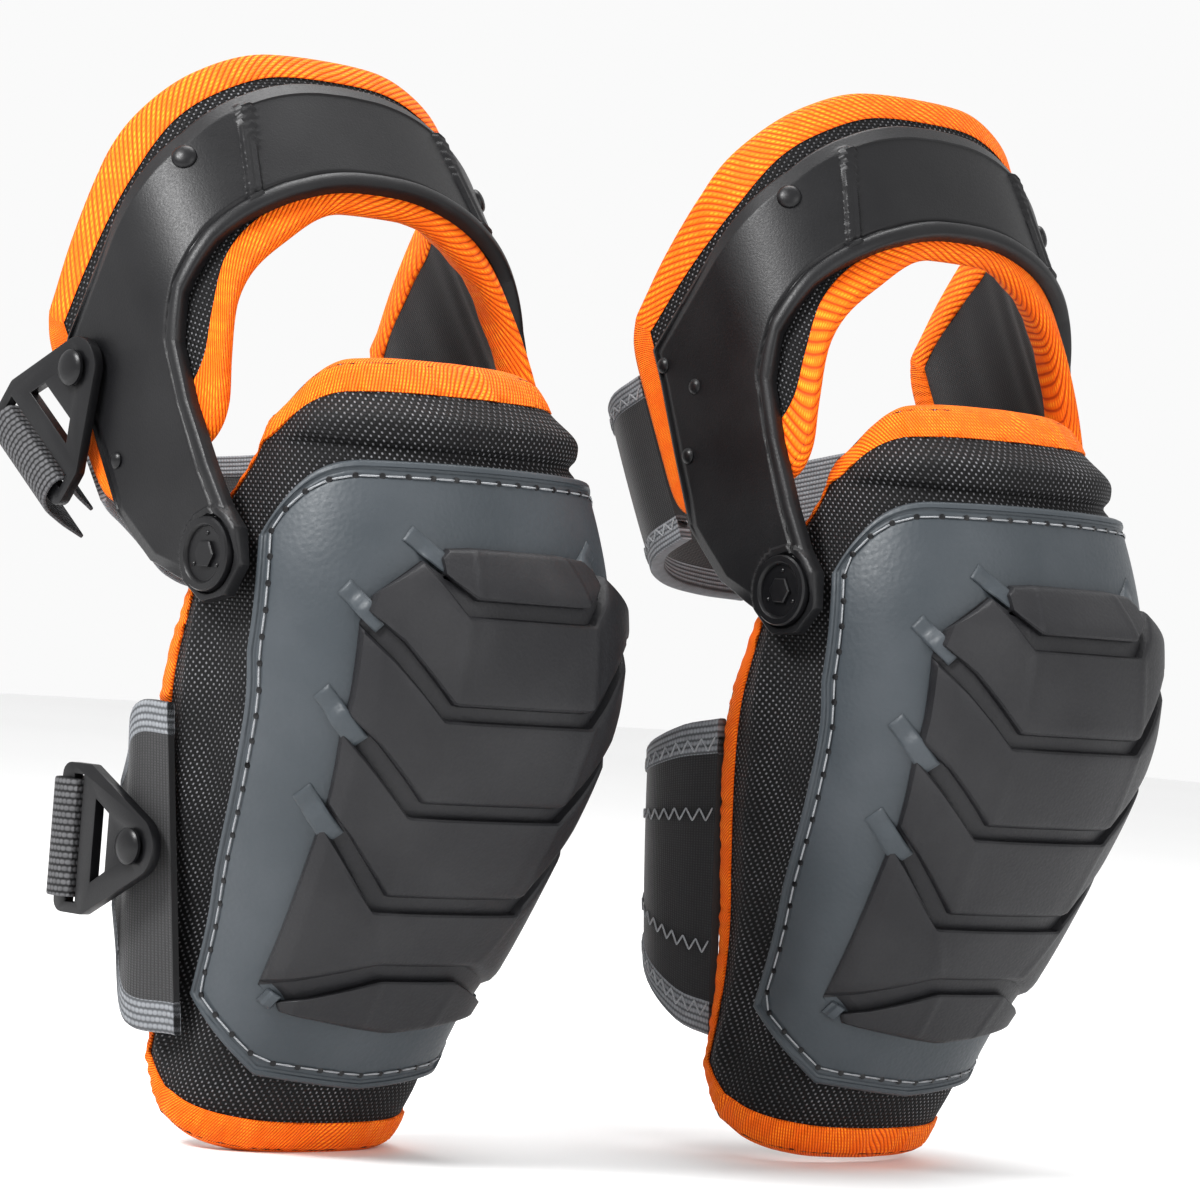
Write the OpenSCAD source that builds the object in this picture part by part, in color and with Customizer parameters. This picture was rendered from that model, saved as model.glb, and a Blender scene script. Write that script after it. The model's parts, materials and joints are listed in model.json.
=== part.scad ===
// A pair of hinged knee pads with thigh supports, modelled in millimetres.
// The row origin is the middle of the left pad's hinge axis: +X to the wearer's other
// leg, -Y to the front, +Z up. Both pads share one design; the right one is mirrored.

/* [Pair] */
// Sideways distance from the left pad's middle to the right pad's middle
pair_gap = 189; // [165:1:220]
// How far the right pad stands in front of the left one
pair_stagger = 57; // [0:1:100]
// How far the right pad sits above the left one
pair_lift = 3; // [0:1:8]
// Lean of the left thigh cuff behind the vertical at rest, in degrees
left_lean = 36; // [28:1:40]
// Lean of the right thigh cuff behind the vertical at rest, in degrees
right_lean = 27; // [25:1:36]

/* [Lower pad] */
// Height of the pad's top edge above the hinge, at the front
pad_top = 63; // [60:1:66]
// Depth of the pad's bottom edge below the hinge, at the front
pad_bottom = 184; // [180:1:187]
// Thickness of the padding away from its edges
pad_thick = 17; // [14:1:20]
// Thickness of the padding where the binding folds over it
pad_edge = 8; // [6:1:10]
// Width of the folded binding tape, seen from one side
binding_w = 9; // [7:1:11]

/* [Armour] */
// Thickness of the flexible shield sewn on the front
shield_t = 2.6; // [2:0.2:3]
// Height of the armour cap's crown above the shield
cap_rise = 11; // [9:1:13]

/* [Thigh cuff] */
// Half width across the outside of the yoke
yoke_half_w = 74; // [73:0.5:75]
// Depth of the yoke's curve from its straight sides to its front
yoke_depth = 50; // [48:1:52]
// Wall thickness of the moulded yoke
yoke_t = 3.5; // [3:0.1:4]
// Thickness of the cuff's padding
cuff_pad_t = 9; // [7:1:10]

/* [Hinge] */
// Radius of the hinge pin
pin_r = 4; // [3.5:0.1:4.5]
// Radial running clearance of every turning pair
run_gap = 0.05; // [0.03:0.01:0.1]
// Radius of the yoke's hinge boss
boss_r = 15; // [14:0.5:16]
// Radius of the round hinge cap
hinge_cap_r = 11.5; // [10:0.5:13]

/* [Straps] */
// Width of the woven webbing
web_w = 38; // [36:1:40]
// Thickness of the triangular buckle
buckle_t = 3.6; // [3:0.1:4.5]
// Distance from the buckle's post to its slot
buckle_reach = 29; // [27:1:31]
// Radius of the mushroom post's neck
post_r = 3.4; // [3:0.1:3.8]

/* [Hidden] */
pad_square = 2.5;              // exponent of the lower pad's rounded U
cuff_square = 2.3;             // exponent of the cuff's rounded U
round_share = 0.72;            // part of the U's length that is curved
round_fn = 48;                 // sides of round parts
grid_u = 16;                   // lengthwise cells of a padded layer
grid_v = 10;                   // upright cells of a padded layer

// Lower pad by height above the hinge: front surface, half width and front depth.
front_y = [[-187, 10], [-170, 3], [-155, -5], [-133, -18], [-112, -30], [-91, -40],
           [-58, -54], [-35, -59], [-12, -58], [12, -53], [33, -46], [50, -38], [63, -29]];
half_w = [[-187, 48], [-155, 48], [-133, 49], [-112, 52], [-91, 57], [-58, 64],
          [-35, 67.5], [-12, 68], [0, 67.5], [12, 65], [33, 59], [50, 54], [63, 50]];
front_d = [[-187, 36], [-155, 39], [-133, 42], [-112, 46], [-91, 51], [-58, 57],
           [-35, 60], [-12, 60], [12, 55], [33, 49], [50, 43], [63, 36]];
back_y = [[-187, 57], [-165, 54], [-140, 49], [-100, 43], [-42, 34], [-16, 25], [0, 19],
          [20, 14], [40, 8], [63, 8]];
// Rise of the top and bottom edges along the U, from front centre to back corner.
top_drop = [[0, 0], [0.35, 1], [0.5, 3], [0.62, 9], [0.72, 19], [0.86, 34], [1, 50]];
bottom_rise = [[0, 0], [0.3, 1], [0.6, 5], [0.72, 9], [0.86, 15], [1, 24]];

function even_power(v, p) = sign(v) * pow(abs(v), p);
function smooth(v) = let (c = max(0, min(1, v))) c * c * (3 - 2 * c);

// A point on the lower pad's U at height z, moved outwards by off.
function pad_point(u, z, off) =
    let (w = lookup(z, half_w) + off, d = lookup(z, front_d) + off,
         yc = lookup(z, front_y) + lookup(z, front_d), a = min(1, abs(u) / round_share) * 90,
         run = max(0, abs(u) - round_share) / (1 - round_share))
    [w * even_power(sin(a), 2 / pad_square) * sign(u),
     yc - d * even_power(cos(a), 2 / pad_square) + run * (lookup(z, back_y) - yc), z];

function pad_z(u, v) =
    let (lo = -pad_bottom + lookup(abs(u), bottom_rise), hi = pad_top - lookup(abs(u), top_drop))
    lo + (hi - lo) * v;

// Padding share at (u, v): 0 at the bound edge, 1 where it is full.
function fullness(u, v) = smooth(min((1 - abs(u)) / 0.14, v / 0.08, (1 - v) / 0.08));
function pad_depth(u, v) = pad_edge + (pad_thick - pad_edge) * fullness(u, v);
function pad_layer(u, v, k) =
    pad_point(u, pad_z(u, v), -shield_t - 0.4 - 2 * (1 - fullness(u, v)) - k * pad_depth(u, v));

// A closed slab between two grids of points, rows by columns, outer skin first.
module slab(outer, inner) {
    rows = len(outer);
    cols = len(outer[0]);
    n = rows * cols;
    skin = [for (i = [0:rows - 2], j = [0:cols - 2])
            let (a = i * cols + j, b = a + 1, c = a + cols, d = c + 1)
            each [[a, c, b], [b, c, d], [n + a, n + b, n + c], [n + b, n + d, n + c]]];
    ends = [for (i = [0:rows - 2])
            let (a = i * cols, c = a + cols, b = a + cols - 1, d = c + cols - 1)
            each [[a, n + a, c], [c, n + a, n + c], [b, d, n + b], [d, n + d, n + b]]];
    rims = [for (j = [0:cols - 2])
            let (a = j, b = j + 1, c = (rows - 1) * cols + j, d = c + 1)
            each [[a, b, n + a], [b, n + b, n + a], [c, n + c, d], [d, n + c, n + d]]];
    polyhedron(concat([for (r = outer) each r], [for (r = inner) each r]),
               concat(skin, ends, rims));
}

// A closed ring or bar swept through a list of equal outlines.
module sweep_rings(rings, closed) {
    m = len(rings[0]);
    n = len(rings);
    last = closed ? n - 1 : n - 2;
    walls = [for (i = [0:last], j = [0:m - 1])
             let (a = i * m + j, b = i * m + (j + 1) % m,
                  c = ((i + 1) % n) * m + j, d = ((i + 1) % n) * m + (j + 1) % m)
             each [[a, b, c], [b, d, c]]];
    caps = closed ? [] : [for (j = [1:m - 2])
                          each [[0, j + 1, j], [(n - 1) * m, (n - 1) * m + j, (n - 1) * m + j + 1]]];
    polyhedron([for (r = rings) each r], concat(walls, caps));
}

// Stations round the edge of a (u, v) patch, drawn in by a margin along each way.
function edge_walk(nu, nv, mu, mv) =
    concat([for (i = [0:nu - 1]) [(1 - mu) * (2 * i / nu - 1), mv]],
           [for (i = [0:nv - 1]) [1 - mu, mv + (1 - 2 * mv) * i / nv]],
           [for (i = [0:nu - 1]) [(1 - mu) * (1 - 2 * i / nu), 1 - mv]],
           [for (i = [0:nv - 1]) [mu - 1, 1 - mv - (1 - 2 * mv) * i / nv]]);

// Strap of thickness t between a top line and a bottom line of equal length. It covers the
// height from drop below the top line to lift above the bottom line.
module strap(top, bottom, t, drop = 0, lift = 0) {
    n = len(top);
    sweep_rings([for (i = [0:n - 1])
        let (down = bottom[i] - top[i], unit = down / norm(down),
             along = top[min(n - 1, i + 1)] - top[max(0, i - 1)],
             side = [along[1], -along[0], 0] * (t / 2 / norm([along[0], along[1]])),
             high = top[i] + unit * drop, low = bottom[i] - unit * lift)
        [high + side, low + side, low - side, high - side]], false);
}
// A level band of the given half height along a plan line.
function band(plan, mid, half) = [for (p = plan) [p[0], p[1], mid + half]];
module level_strap(plan, mid, half, t) {
    strap(band(plan, mid, half), band(plan, mid, -half), t);
}
// The two elastic edges of a strap, top and bottom, with a little air to its middle.
module strap_edges(top, bottom, t) {
    lengths = [for (i = [0:len(top) - 1]) norm(bottom[i] - top[i])];
    function inwards(from, to, d) = [for (i = [0:len(top) - 1])
        from[i] + (to[i] - from[i]) * d / lengths[i]];
    strap(top, inwards(top, bottom, edge_band - 0.2), t);
    strap(inwards(bottom, top, edge_band - 0.2), bottom, t);
}

// ---- lower pad ------------------------------------------------------------

margin_u = binding_w / 170;
margin_v = binding_w / 240;
gel_u = 0.34;
gel_low = 0.42;
gel_high = 0.8;

function in_gel(u, v) = abs(u) < gel_u + 0.01 && v > gel_low - 0.01 && v < gel_high + 0.01;
function grid_rows(lo_k, hi_k) =
    [for (i = [0:grid_v])
        let (v = margin_v + 0.002 + (1 - 2 * margin_v - 0.004) * i / grid_v)
        [for (j = [0:grid_u])
            let (u = (1 - margin_u - 0.002) * (2 * j / grid_u - 1))
            pad_layer(u, v, in_gel(u, v) ? hi_k : lo_k)]];

module pad_cover() {
    color("#1c1c1e") slab(grid_rows(0, 0), grid_rows(0.1, 0.1));
}
module pad_foam() {
    color("#3a3a3a") slab(grid_rows(0.12, 0.12), grid_rows(0.88, 0.6));
}
module gel_insert() {
    cells = 4;
    low = margin_v + (1 - 2 * margin_v) * 0.5;
    high = margin_v + (1 - 2 * margin_v) * 0.7;
    function patch(k) = [for (i = [0:cells]) [for (j = [-cells:cells])
        pad_layer(j / cells * gel_u * 0.8, low + (high - low) * i / cells, k)]];
    color("#5a7fb0") slab(patch(0.66), patch(0.86));
}
module pad_liner() {
    color("#202022") slab(grid_rows(0.9, 0.9), grid_rows(1, 1));
}
module pad_binding() {
    outer_edge = edge_walk(18, 10, 0, 0);
    inner_edge = edge_walk(18, 10, margin_u, margin_v);
    color("#f0641e") sweep_rings([for (i = [0:len(outer_edge) - 1])
        [pad_layer(inner_edge[i][0], inner_edge[i][1], -0.05),
         pad_layer(outer_edge[i][0], outer_edge[i][1], 0),
         pad_layer(outer_edge[i][0], outer_edge[i][1], 1),
         pad_layer(inner_edge[i][0], inner_edge[i][1], 1.05)]], true);
}

// Shield: half spread along the U by height, with cut lower corners.
shield_top = 33;
shield_bottom = -168;
shield_u = [[-168, 0.34], [-160, 0.4], [-138, 0.7], [-96, 0.7], [-61, 0.67], [-28, 0.655],
            [11, 0.63], [24, 0.57], [33, 0.45]];
function shield_rows(off) =
    [for (i = [0:12])
        let (z = shield_bottom + (shield_top - shield_bottom) * i / 12)
        [for (j = [-8:8])
            let (u = j / 8 * lookup(z, shield_u), arc = 5 * (1 - pow(abs(j) / 8, 2)))
            pad_point(u, z + (i == 0 ? -arc + 4 : i == 12 ? arc - 4 : 0), off)]];
module shield() {
    color("#4c5057") slab(shield_rows(0), shield_rows(-shield_t));
}

// Armour cap: crown height by height above the hinge, and its spread along the U.
cap_top = 8;
cap_bottom = -146;
cap_u = [[-146, 0.22], [-138, 0.36], [-128, 0.46], [-102, 0.44], [-72, 0.41], [-28, 0.39],
         [-8, 0.34], [3, 0.25], [8, 0.2]];
cap_crown = [[-146, 0.4], [-125, 0.55], [-90, 0.65], [-45, 0.85], [-8, 1], [8, 0.35]];
function cap_rows(top_skin) =
    [for (i = [0:14])
        let (z = cap_bottom + (cap_top - cap_bottom) * i / 14,
             lift = cap_rise * lookup(z, cap_crown) * (i == 0 || i == 14 ? 0.35 : 1))
        [for (j = [-6:6])
            let (u = j / 6 * lookup(z, cap_u), side = smooth((1 - abs(j) / 6) * 3))
            pad_point(u, z, top_skin ? 1.5 + (lift - 1.5) * side : 0.15)]];
module armour_cap() {
    color("#232325") slab(cap_rows(true), cap_rows(false));
}

// ---- hinge ------------------------------------------------------------------

arm_in = yoke_half_w - yoke_t;
plate_t = 1.8;
washer_t = 0.5;
plate_r = 11;

module both_sides() {
    children();
    mirror([1, 0, 0]) children();
}
module disc(x, t, r, bore = 0) {
    translate([x, 0, 0]) rotate([0, 90, 0]) difference() {
        cylinder(h = t, r = r, $fn = round_fn);
        if (bore > 0) translate([0, 0, -1]) cylinder(h = t + 2, r = bore, $fn = round_fn);
    }
}
module hinge_plates() {
    color("#17171a") both_sides()
        disc(arm_in - washer_t - 0.2 - plate_t, plate_t, plate_r, pin_r);
}
module hinge_pins() {
    color("#8d9096") both_sides()
        disc(arm_in - washer_t - 0.2 - plate_t, plate_t + washer_t + 0.2 + yoke_t + 0.2, pin_r);
}
module hinge_washers() {
    color("#cfd0d2") both_sides()
        disc(arm_in - washer_t - 0.1, washer_t, plate_r - 2, pin_r + run_gap);
}
module hinge_caps() {
    dish_r = hinge_cap_r - 3;
    color("#17171a") both_sides() {
        difference() {
            disc(yoke_half_w + 0.3, 3, hinge_cap_r);
            disc(yoke_half_w + 2, 2, dish_r);
        }
        translate([yoke_half_w + 1.8, 0, 0]) rotate([0, 90, 0]) cylinder(h = 1.2, r = 4.5, $fn = 6);
    }
}

// ---- calf strap ---------------------------------------------------------------

calf_z = -91.5;
edge_band = 9;
strap_t = 4;
elastic_half = web_w / 2;
calf_top = [[61.5, 36.5, -43], [64, 50, -46], [62, 65, -52], [52, 77, -57], [38, 84, -59],
            [18, 87.5, -60], [2, 88, -60]];
calf_bottom = [[39.5, 52, -149], [44, 61, -146], [48, 71, -136], [45, 79, -126], [35, 84.5, -121],
               [18, 87.5, -119], [2, 88, -118]];
calf_elastic_plan = [[14, 91.3], [0, 91.3], [-12, 87.5], [-22, 81], [-36, 73], [-47, 66.5],
                     [-53, 60.5], [-56, 54]];
wing_top = [[-67.5, 22, -46], [-67.5, 37, -47], [-62, 46, -62], [-58.5, 53, -72]];
wing_bottom = [[-51.5, 26, -149], [-51.5, 52, -147], [-55, 54, -124], [-56, 56, -112]];

module calf_strap() {
    color("#1b1b1d") strap(calf_top, calf_bottom, strap_t, edge_band, edge_band);
}
module calf_strap_edges() {
    color("#9b9c9e") strap_edges(calf_top, calf_bottom, strap_t + 0.6);
}
module calf_elastic() {
    color("#9b9c9e") level_strap(calf_elastic_plan, calf_z, elastic_half, 2);
}
module clip_wing() {
    color("#2a2a2c") strap(wing_top, wing_bottom, 2.4);
}

// ---- posts and buckles, drawn for the -X side -----------------------------------

lower_post_at = [-64.4, 34, calf_z];
upper_post_f = -24;
upper_post_t = 85;
upper_swing = -107;            // turn of the upper buckle within the cuff's frame
post_len = buckle_t + 1.4;
head_r = 5.6;

module post_body(foot) {
    rim = post_len + 1.6;
    top = post_len + 2.8;
    rotate([0, -90, 0]) rotate_extrude($fn = round_fn)
        polygon([[0, -foot], [head_r + 1, -foot], [head_r + 1, 0.1], [post_r, 0.1],
                 [post_r, post_len], [head_r, post_len], [head_r, rim], [head_r - 2, top], [0, top]]);
}
// Flat buckle: rounded apex round the post, window, and a slot for the webbing.
module buckle_outline() {
    base = buckle_reach + 9;
    half = web_w / 2 + 4.5;
    difference() {
        hull() {
            circle(r = 10, $fn = 32);
            translate([base - 4, half - 4]) circle(r = 4, $fn = 20);
            translate([base - 4, 4 - half]) circle(r = 4, $fn = 20);
            translate([base - 14, half - 3]) circle(r = 3, $fn = 20);
            translate([base - 14, 3 - half]) circle(r = 3, $fn = 20);
        }
        translate([buckle_reach - 2, -web_w / 2 - 1]) square([5, web_w + 2]);
        polygon([[13, -9], [20, -13], [20, 13], [13, 9]]);
    }
}
module buckle_body() {
    rotate([0, -90, 0]) difference() {
        translate([0, 0, 0.7]) linear_extrude(buckle_t) buckle_outline();
        cylinder(h = buckle_t + 4, r = post_r + run_gap, $fn = round_fn);
    }
}
// Webbing folded through the slot, round the buckle's bar and back, along +Y.
webbing_t = 1.4;
webbing_plan = [[14, 40.5], [4, 34.2], [1.4, 31.2], [-1, 29.7], [-4.2, 29.7], [-6, 31.6],
                [-6.4, 36], [-4.4, 40.5], [4, 46], [16, 51.5]];
module webbing_loop() {
    level_strap(webbing_plan, 0, web_w / 2 - 0.5, webbing_t);
}

module lower_post() {
    color("#17171a") translate(lower_post_at) post_body(0.5);
}
module lower_buckle() {
    color("#1a1a1c") translate(lower_post_at) rotate([-90, 0, 0]) buckle_body();
}
module lower_webbing() {
    color("#1d1d1f") translate(lower_post_at) webbing_loop();
}

// ---- thigh cuff, drawn with its own axis upright ----------------------------------

cuff_centre_f = 4;
// Side view of the yoke: [distance forward, distance up the thigh] from the hinge.
yoke_side = [[-30, 101], [-30, 89], [-33, 64], [-35, 38], [-28, 16], [-15, 0], [-12, -9],
             [12, -9], [13, 4], [13, 24], [14, 47], [17, 67], [24, 81], [36, 93], [47, 101],
             [56, 108], [90, 108], [90, 151], [56, 150], [49, 145], [37, 135], [12, 122]];
cuff_top = [[0, 162], [0.11, 162], [0.31, 157], [0.48, 150], [0.69, 140], [0.84, 129],
            [0.95, 119], [1, 115]];
cuff_low = [[0, 104], [0.06, 104], [0.23, 94], [0.42, 77], [0.51, 59], [0.58, 45], [0.69, 38],
            [0.9, 38], [1, 42]];
cuff_back_f = -40;

function cuff_point(u, t, off) =
    let (w = yoke_half_w + off, d = yoke_depth + off, a = min(1, abs(u) / round_share) * 90,
         run = max(0, abs(u) - round_share) / (1 - round_share))
    [w * even_power(sin(a), 2 / cuff_square) * sign(u),
     -(cuff_centre_f + d * even_power(cos(a), 2 / cuff_square)
       + run * (cuff_back_f - cuff_centre_f)), t];
function cuff_t(u, v) =
    lookup(abs(u), cuff_low) + (lookup(abs(u), cuff_top) - lookup(abs(u), cuff_low)) * v;
function cuff_full(u, v) = smooth(min((1 - abs(u)) / 0.12, v / 0.14, (1 - v) / 0.14));
function cuff_layer(u, v, k) =
    cuff_point(u, cuff_t(u, v), -yoke_t - 0.4 - k * (6 + (cuff_pad_t - 6) * cuff_full(u, v)));

module cuff_frame() {
    rotate([-$lean, 0, 0]) children();
}
module u_outline(off) {
    front = [for (a = [-90:7.5:90])
        [(yoke_half_w + off) * even_power(sin(a), 2 / cuff_square),
         -(cuff_centre_f + (yoke_depth + off) * even_power(cos(a), 2 / cuff_square))]];
    polygon(concat([[-yoke_half_w - off, 60]], front, [[yoke_half_w + off, 60]]));
}
module side_plate(points) {
    rotate([90, 0, 90]) linear_extrude(400, center = true)
        polygon([for (p = points) [-p[0], p[1]]]);
}
module yoke() {
    shell_from = 34;
    color("#1f2022") cuff_frame() difference() {
        union() {
            intersection() {
                side_plate(yoke_side);
                translate([0, 0, shell_from]) linear_extrude(160) difference() {
                    u_outline(0);
                    u_outline(-yoke_t);
                }
            }
            both_sides() {
                intersection() {
                    side_plate(yoke_side);
                    translate([arm_in, -14, -30]) cube([yoke_t, 60, 90]);
                }
                disc(arm_in, yoke_t, boss_r);
            }
        }
        rotate([0, 90, 0]) cylinder(h = 300, r = pin_r + run_gap, center = true, $fn = round_fn);
    }
}
margin_cu = 0.05;
margin_cv = 0.14;
function cuff_rows(k) =
    [for (i = [0:4]) let (v = margin_cv + 0.004 + (1 - 2 * margin_cv - 0.008) * i / 4)
        [for (j = [-12:12]) cuff_layer((1 - margin_cu - 0.002) * j / 12, v, k)]];
module cuff_cover() {
    color("#232326") cuff_frame() slab(cuff_rows(0.02), cuff_rows(0.68));
}
module cuff_liner() {
    color("#1b1b1d") cuff_frame() slab(cuff_rows(0.72), cuff_rows(0.98));
}
module cuff_binding() {
    outer_edge = edge_walk(24, 4, 0, 0);
    inner_edge = edge_walk(24, 4, margin_cu, margin_cv);
    color("#f0641e") cuff_frame() sweep_rings([for (i = [0:len(outer_edge) - 1])
        [cuff_layer(inner_edge[i][0], inner_edge[i][1], 0),
         cuff_layer(outer_edge[i][0], outer_edge[i][1], 0),
         cuff_layer(outer_edge[i][0], outer_edge[i][1], 1),
         cuff_layer(inner_edge[i][0], inner_edge[i][1], 1)]], true);
}
// Rivets: two domes at the front, small ones near the back edges.
module rivet(f, t, way, r) {
    translate([way * (yoke_half_w + 0.1), -f, t]) rotate([0, 90 * way, 0]) {
        cylinder(h = 0.8, r = r, $fn = 24);
        translate([0, 0, 0.8]) cylinder(h = 0.8, r1 = r, r2 = r * 0.6, $fn = 24);
    }
}
module yoke_rivets() {
    front_a = 53;
    front_r = 4;
    front_t = 125.3;
    small_r = 2.6;
    color("#1a1a1c") cuff_frame() {
        both_sides() translate([(yoke_half_w + 0.4) * pow(sin(front_a), 2 / cuff_square),
                   -(cuff_centre_f + (yoke_depth + 0.4) * pow(cos(front_a), 2 / cuff_square)), front_t])
            rotate([90, 0, 50]) {
                cylinder(h = 0.8, r = front_r, $fn = 24);
                translate([0, 0, 0.8]) cylinder(h = 1, r1 = front_r, r2 = 2.2, $fn = 24);
            }
        rivet(-26, 93, 1, small_r);
        rivet(-15, 80, 1, small_r);
        rivet(-26, 60, 1, small_r);
        rivet(-26, 52, -1, small_r);
    }
}
thigh_t = 68;
thigh_half = 30;
thigh_plan = [[66, 42.5], [66, 52], [60, 64], [46, 74], [24, 80], [2, 82]];
thigh_elastic_plan = [[14, 85.6], [0, 85.6], [-16, 80.3], [-30, 70.5], [-42, 61.5],
                      [-52, 54.5], [-61, 48.5], [-67, 43.5]];
thigh_high = band(thigh_plan, thigh_t, thigh_half);
thigh_low = band(thigh_plan, thigh_t, -thigh_half);
module thigh_strap() {
    color("#1b1b1d") cuff_frame() strap(thigh_high, thigh_low, strap_t, edge_band, edge_band);
}
module thigh_strap_edges() {
    color("#9b9c9e") cuff_frame() strap_edges(thigh_high, thigh_low, strap_t + 0.6);
}
module thigh_elastic() {
    color("#9b9c9e") cuff_frame() level_strap(thigh_elastic_plan, thigh_t, elastic_half, 2);
}
module on_upper_post() {
    cuff_frame() translate([-yoke_half_w - 0.1, -upper_post_f, upper_post_t]) children();
}
module upper_post() {
    color("#17171a") on_upper_post() post_body(0);
}
module upper_buckle() {
    color("#1a1a1c") on_upper_post() rotate([upper_swing, 0, 0]) buckle_body();
}
module upper_webbing() {
    color("#1d1d1f") on_upper_post() rotate([upper_swing + 90, 0, 0]) webbing_loop();
}

// ---- the pair -----------------------------------------------------------------

module left() {
    $lean = left_lean;
    children();
}
module right() {
    $lean = right_lean;
    translate([pair_gap, -pair_stagger, pair_lift]) mirror([1, 0, 0]) children();
}

left() pad_cover();  // left_pad_cover
left() pad_foam();  // left_pad_foam
left() gel_insert();  // left_gel_insert
left() pad_liner();  // left_pad_liner
left() pad_binding();  // left_pad_binding
left() shield();  // left_shield
left() armour_cap();  // left_armour_cap
left() hinge_plates();  // left_hinge_plates
left() hinge_pins();  // left_hinge_pins
left() hinge_washers();  // left_hinge_washers
left() hinge_caps();  // left_hinge_caps
left() calf_strap();  // left_calf_strap
left() calf_strap_edges();  // left_calf_strap_edges
left() calf_elastic();  // left_calf_elastic
left() clip_wing();  // left_clip_wing
left() lower_post();  // left_lower_post
left() lower_buckle();  // left_lower_buckle
left() lower_webbing();  // left_lower_webbing
left() yoke();  // left_yoke
left() cuff_cover();  // left_cuff_cover
left() cuff_liner();  // left_cuff_liner
left() cuff_binding();  // left_cuff_binding
left() yoke_rivets();  // left_yoke_rivets
left() thigh_strap();  // left_thigh_strap
left() thigh_strap_edges();  // left_thigh_strap_edges
left() thigh_elastic();  // left_thigh_elastic
left() upper_post();  // left_upper_post
left() upper_buckle();  // left_upper_buckle
left() upper_webbing();  // left_upper_webbing
right() pad_cover();  // right_pad_cover
right() pad_foam();  // right_pad_foam
right() gel_insert();  // right_gel_insert
right() pad_liner();  // right_pad_liner
right() pad_binding();  // right_pad_binding
right() shield();  // right_shield
right() armour_cap();  // right_armour_cap
right() hinge_plates();  // right_hinge_plates
right() hinge_pins();  // right_hinge_pins
right() hinge_washers();  // right_hinge_washers
right() hinge_caps();  // right_hinge_caps
right() calf_strap();  // right_calf_strap
right() calf_strap_edges();  // right_calf_strap_edges
right() calf_elastic();  // right_calf_elastic
right() clip_wing();  // right_clip_wing
right() lower_post();  // right_lower_post
right() lower_buckle();  // right_lower_buckle
right() lower_webbing();  // right_lower_webbing
right() yoke();  // right_yoke
right() cuff_cover();  // right_cuff_cover
right() cuff_liner();  // right_cuff_liner
right() cuff_binding();  // right_cuff_binding
right() yoke_rivets();  // right_yoke_rivets
right() thigh_strap();  // right_thigh_strap
right() thigh_strap_edges();  // right_thigh_strap_edges
right() thigh_elastic();  // right_thigh_elastic
right() upper_post();  // right_upper_post
right() upper_buckle();  // right_upper_buckle
right() upper_webbing();  // right_upper_webbing
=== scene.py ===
"""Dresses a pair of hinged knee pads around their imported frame, in metres."""
import json
import logging
import math
from dataclasses import dataclass, field
from enum import Enum
from typing import Any, Callable, Optional, Sequence

import bpy
import numpy as np
from mathutils import Matrix, Vector


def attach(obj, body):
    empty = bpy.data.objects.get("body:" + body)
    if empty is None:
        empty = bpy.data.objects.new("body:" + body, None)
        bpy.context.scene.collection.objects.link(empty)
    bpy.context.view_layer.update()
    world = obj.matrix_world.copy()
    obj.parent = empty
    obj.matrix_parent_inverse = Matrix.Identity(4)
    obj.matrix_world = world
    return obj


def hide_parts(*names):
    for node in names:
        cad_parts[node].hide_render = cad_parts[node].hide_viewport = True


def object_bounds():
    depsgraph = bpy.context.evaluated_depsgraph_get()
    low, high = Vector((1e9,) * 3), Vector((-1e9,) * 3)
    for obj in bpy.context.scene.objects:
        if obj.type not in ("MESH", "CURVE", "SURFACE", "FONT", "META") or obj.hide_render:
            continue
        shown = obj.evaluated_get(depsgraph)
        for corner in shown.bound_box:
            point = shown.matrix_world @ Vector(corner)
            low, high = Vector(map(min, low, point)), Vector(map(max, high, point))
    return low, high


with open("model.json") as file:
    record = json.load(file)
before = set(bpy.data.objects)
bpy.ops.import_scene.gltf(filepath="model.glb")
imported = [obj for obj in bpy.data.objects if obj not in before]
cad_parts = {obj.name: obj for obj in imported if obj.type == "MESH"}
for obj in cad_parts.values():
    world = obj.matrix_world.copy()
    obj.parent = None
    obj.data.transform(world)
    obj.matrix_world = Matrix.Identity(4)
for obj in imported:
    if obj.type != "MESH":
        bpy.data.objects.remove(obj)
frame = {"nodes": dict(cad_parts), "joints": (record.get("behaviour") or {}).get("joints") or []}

LOG = logging.getLogger("knee_pads")
MM = 0.001
START_BOX = [list(corner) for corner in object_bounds()]
Points = np.ndarray
Surface = Callable[[Points, Points], Points]


class Slot(Enum):
    """The record's material slots."""

    NYLON = "ballistic_nylon"
    FOAM = "foam"
    GEL = "gel"
    LINER = "liner_fabric"
    TAPE = "orange_tape"
    SHIELD = "shield_vinyl"
    CAP = "cap_rubber"
    PLASTIC = "black_plastic"
    STEEL = "steel"
    WASHER = "nylon_washer"
    NEOPRENE = "neoprene"
    ELASTIC = "grey_elastic"
    BUCKLE = "buckle_plastic"
    WEBBING = "webbing"
    YOKE = "yoke_plastic"


# ---- shader maths -----------------------------------------------------------


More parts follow.
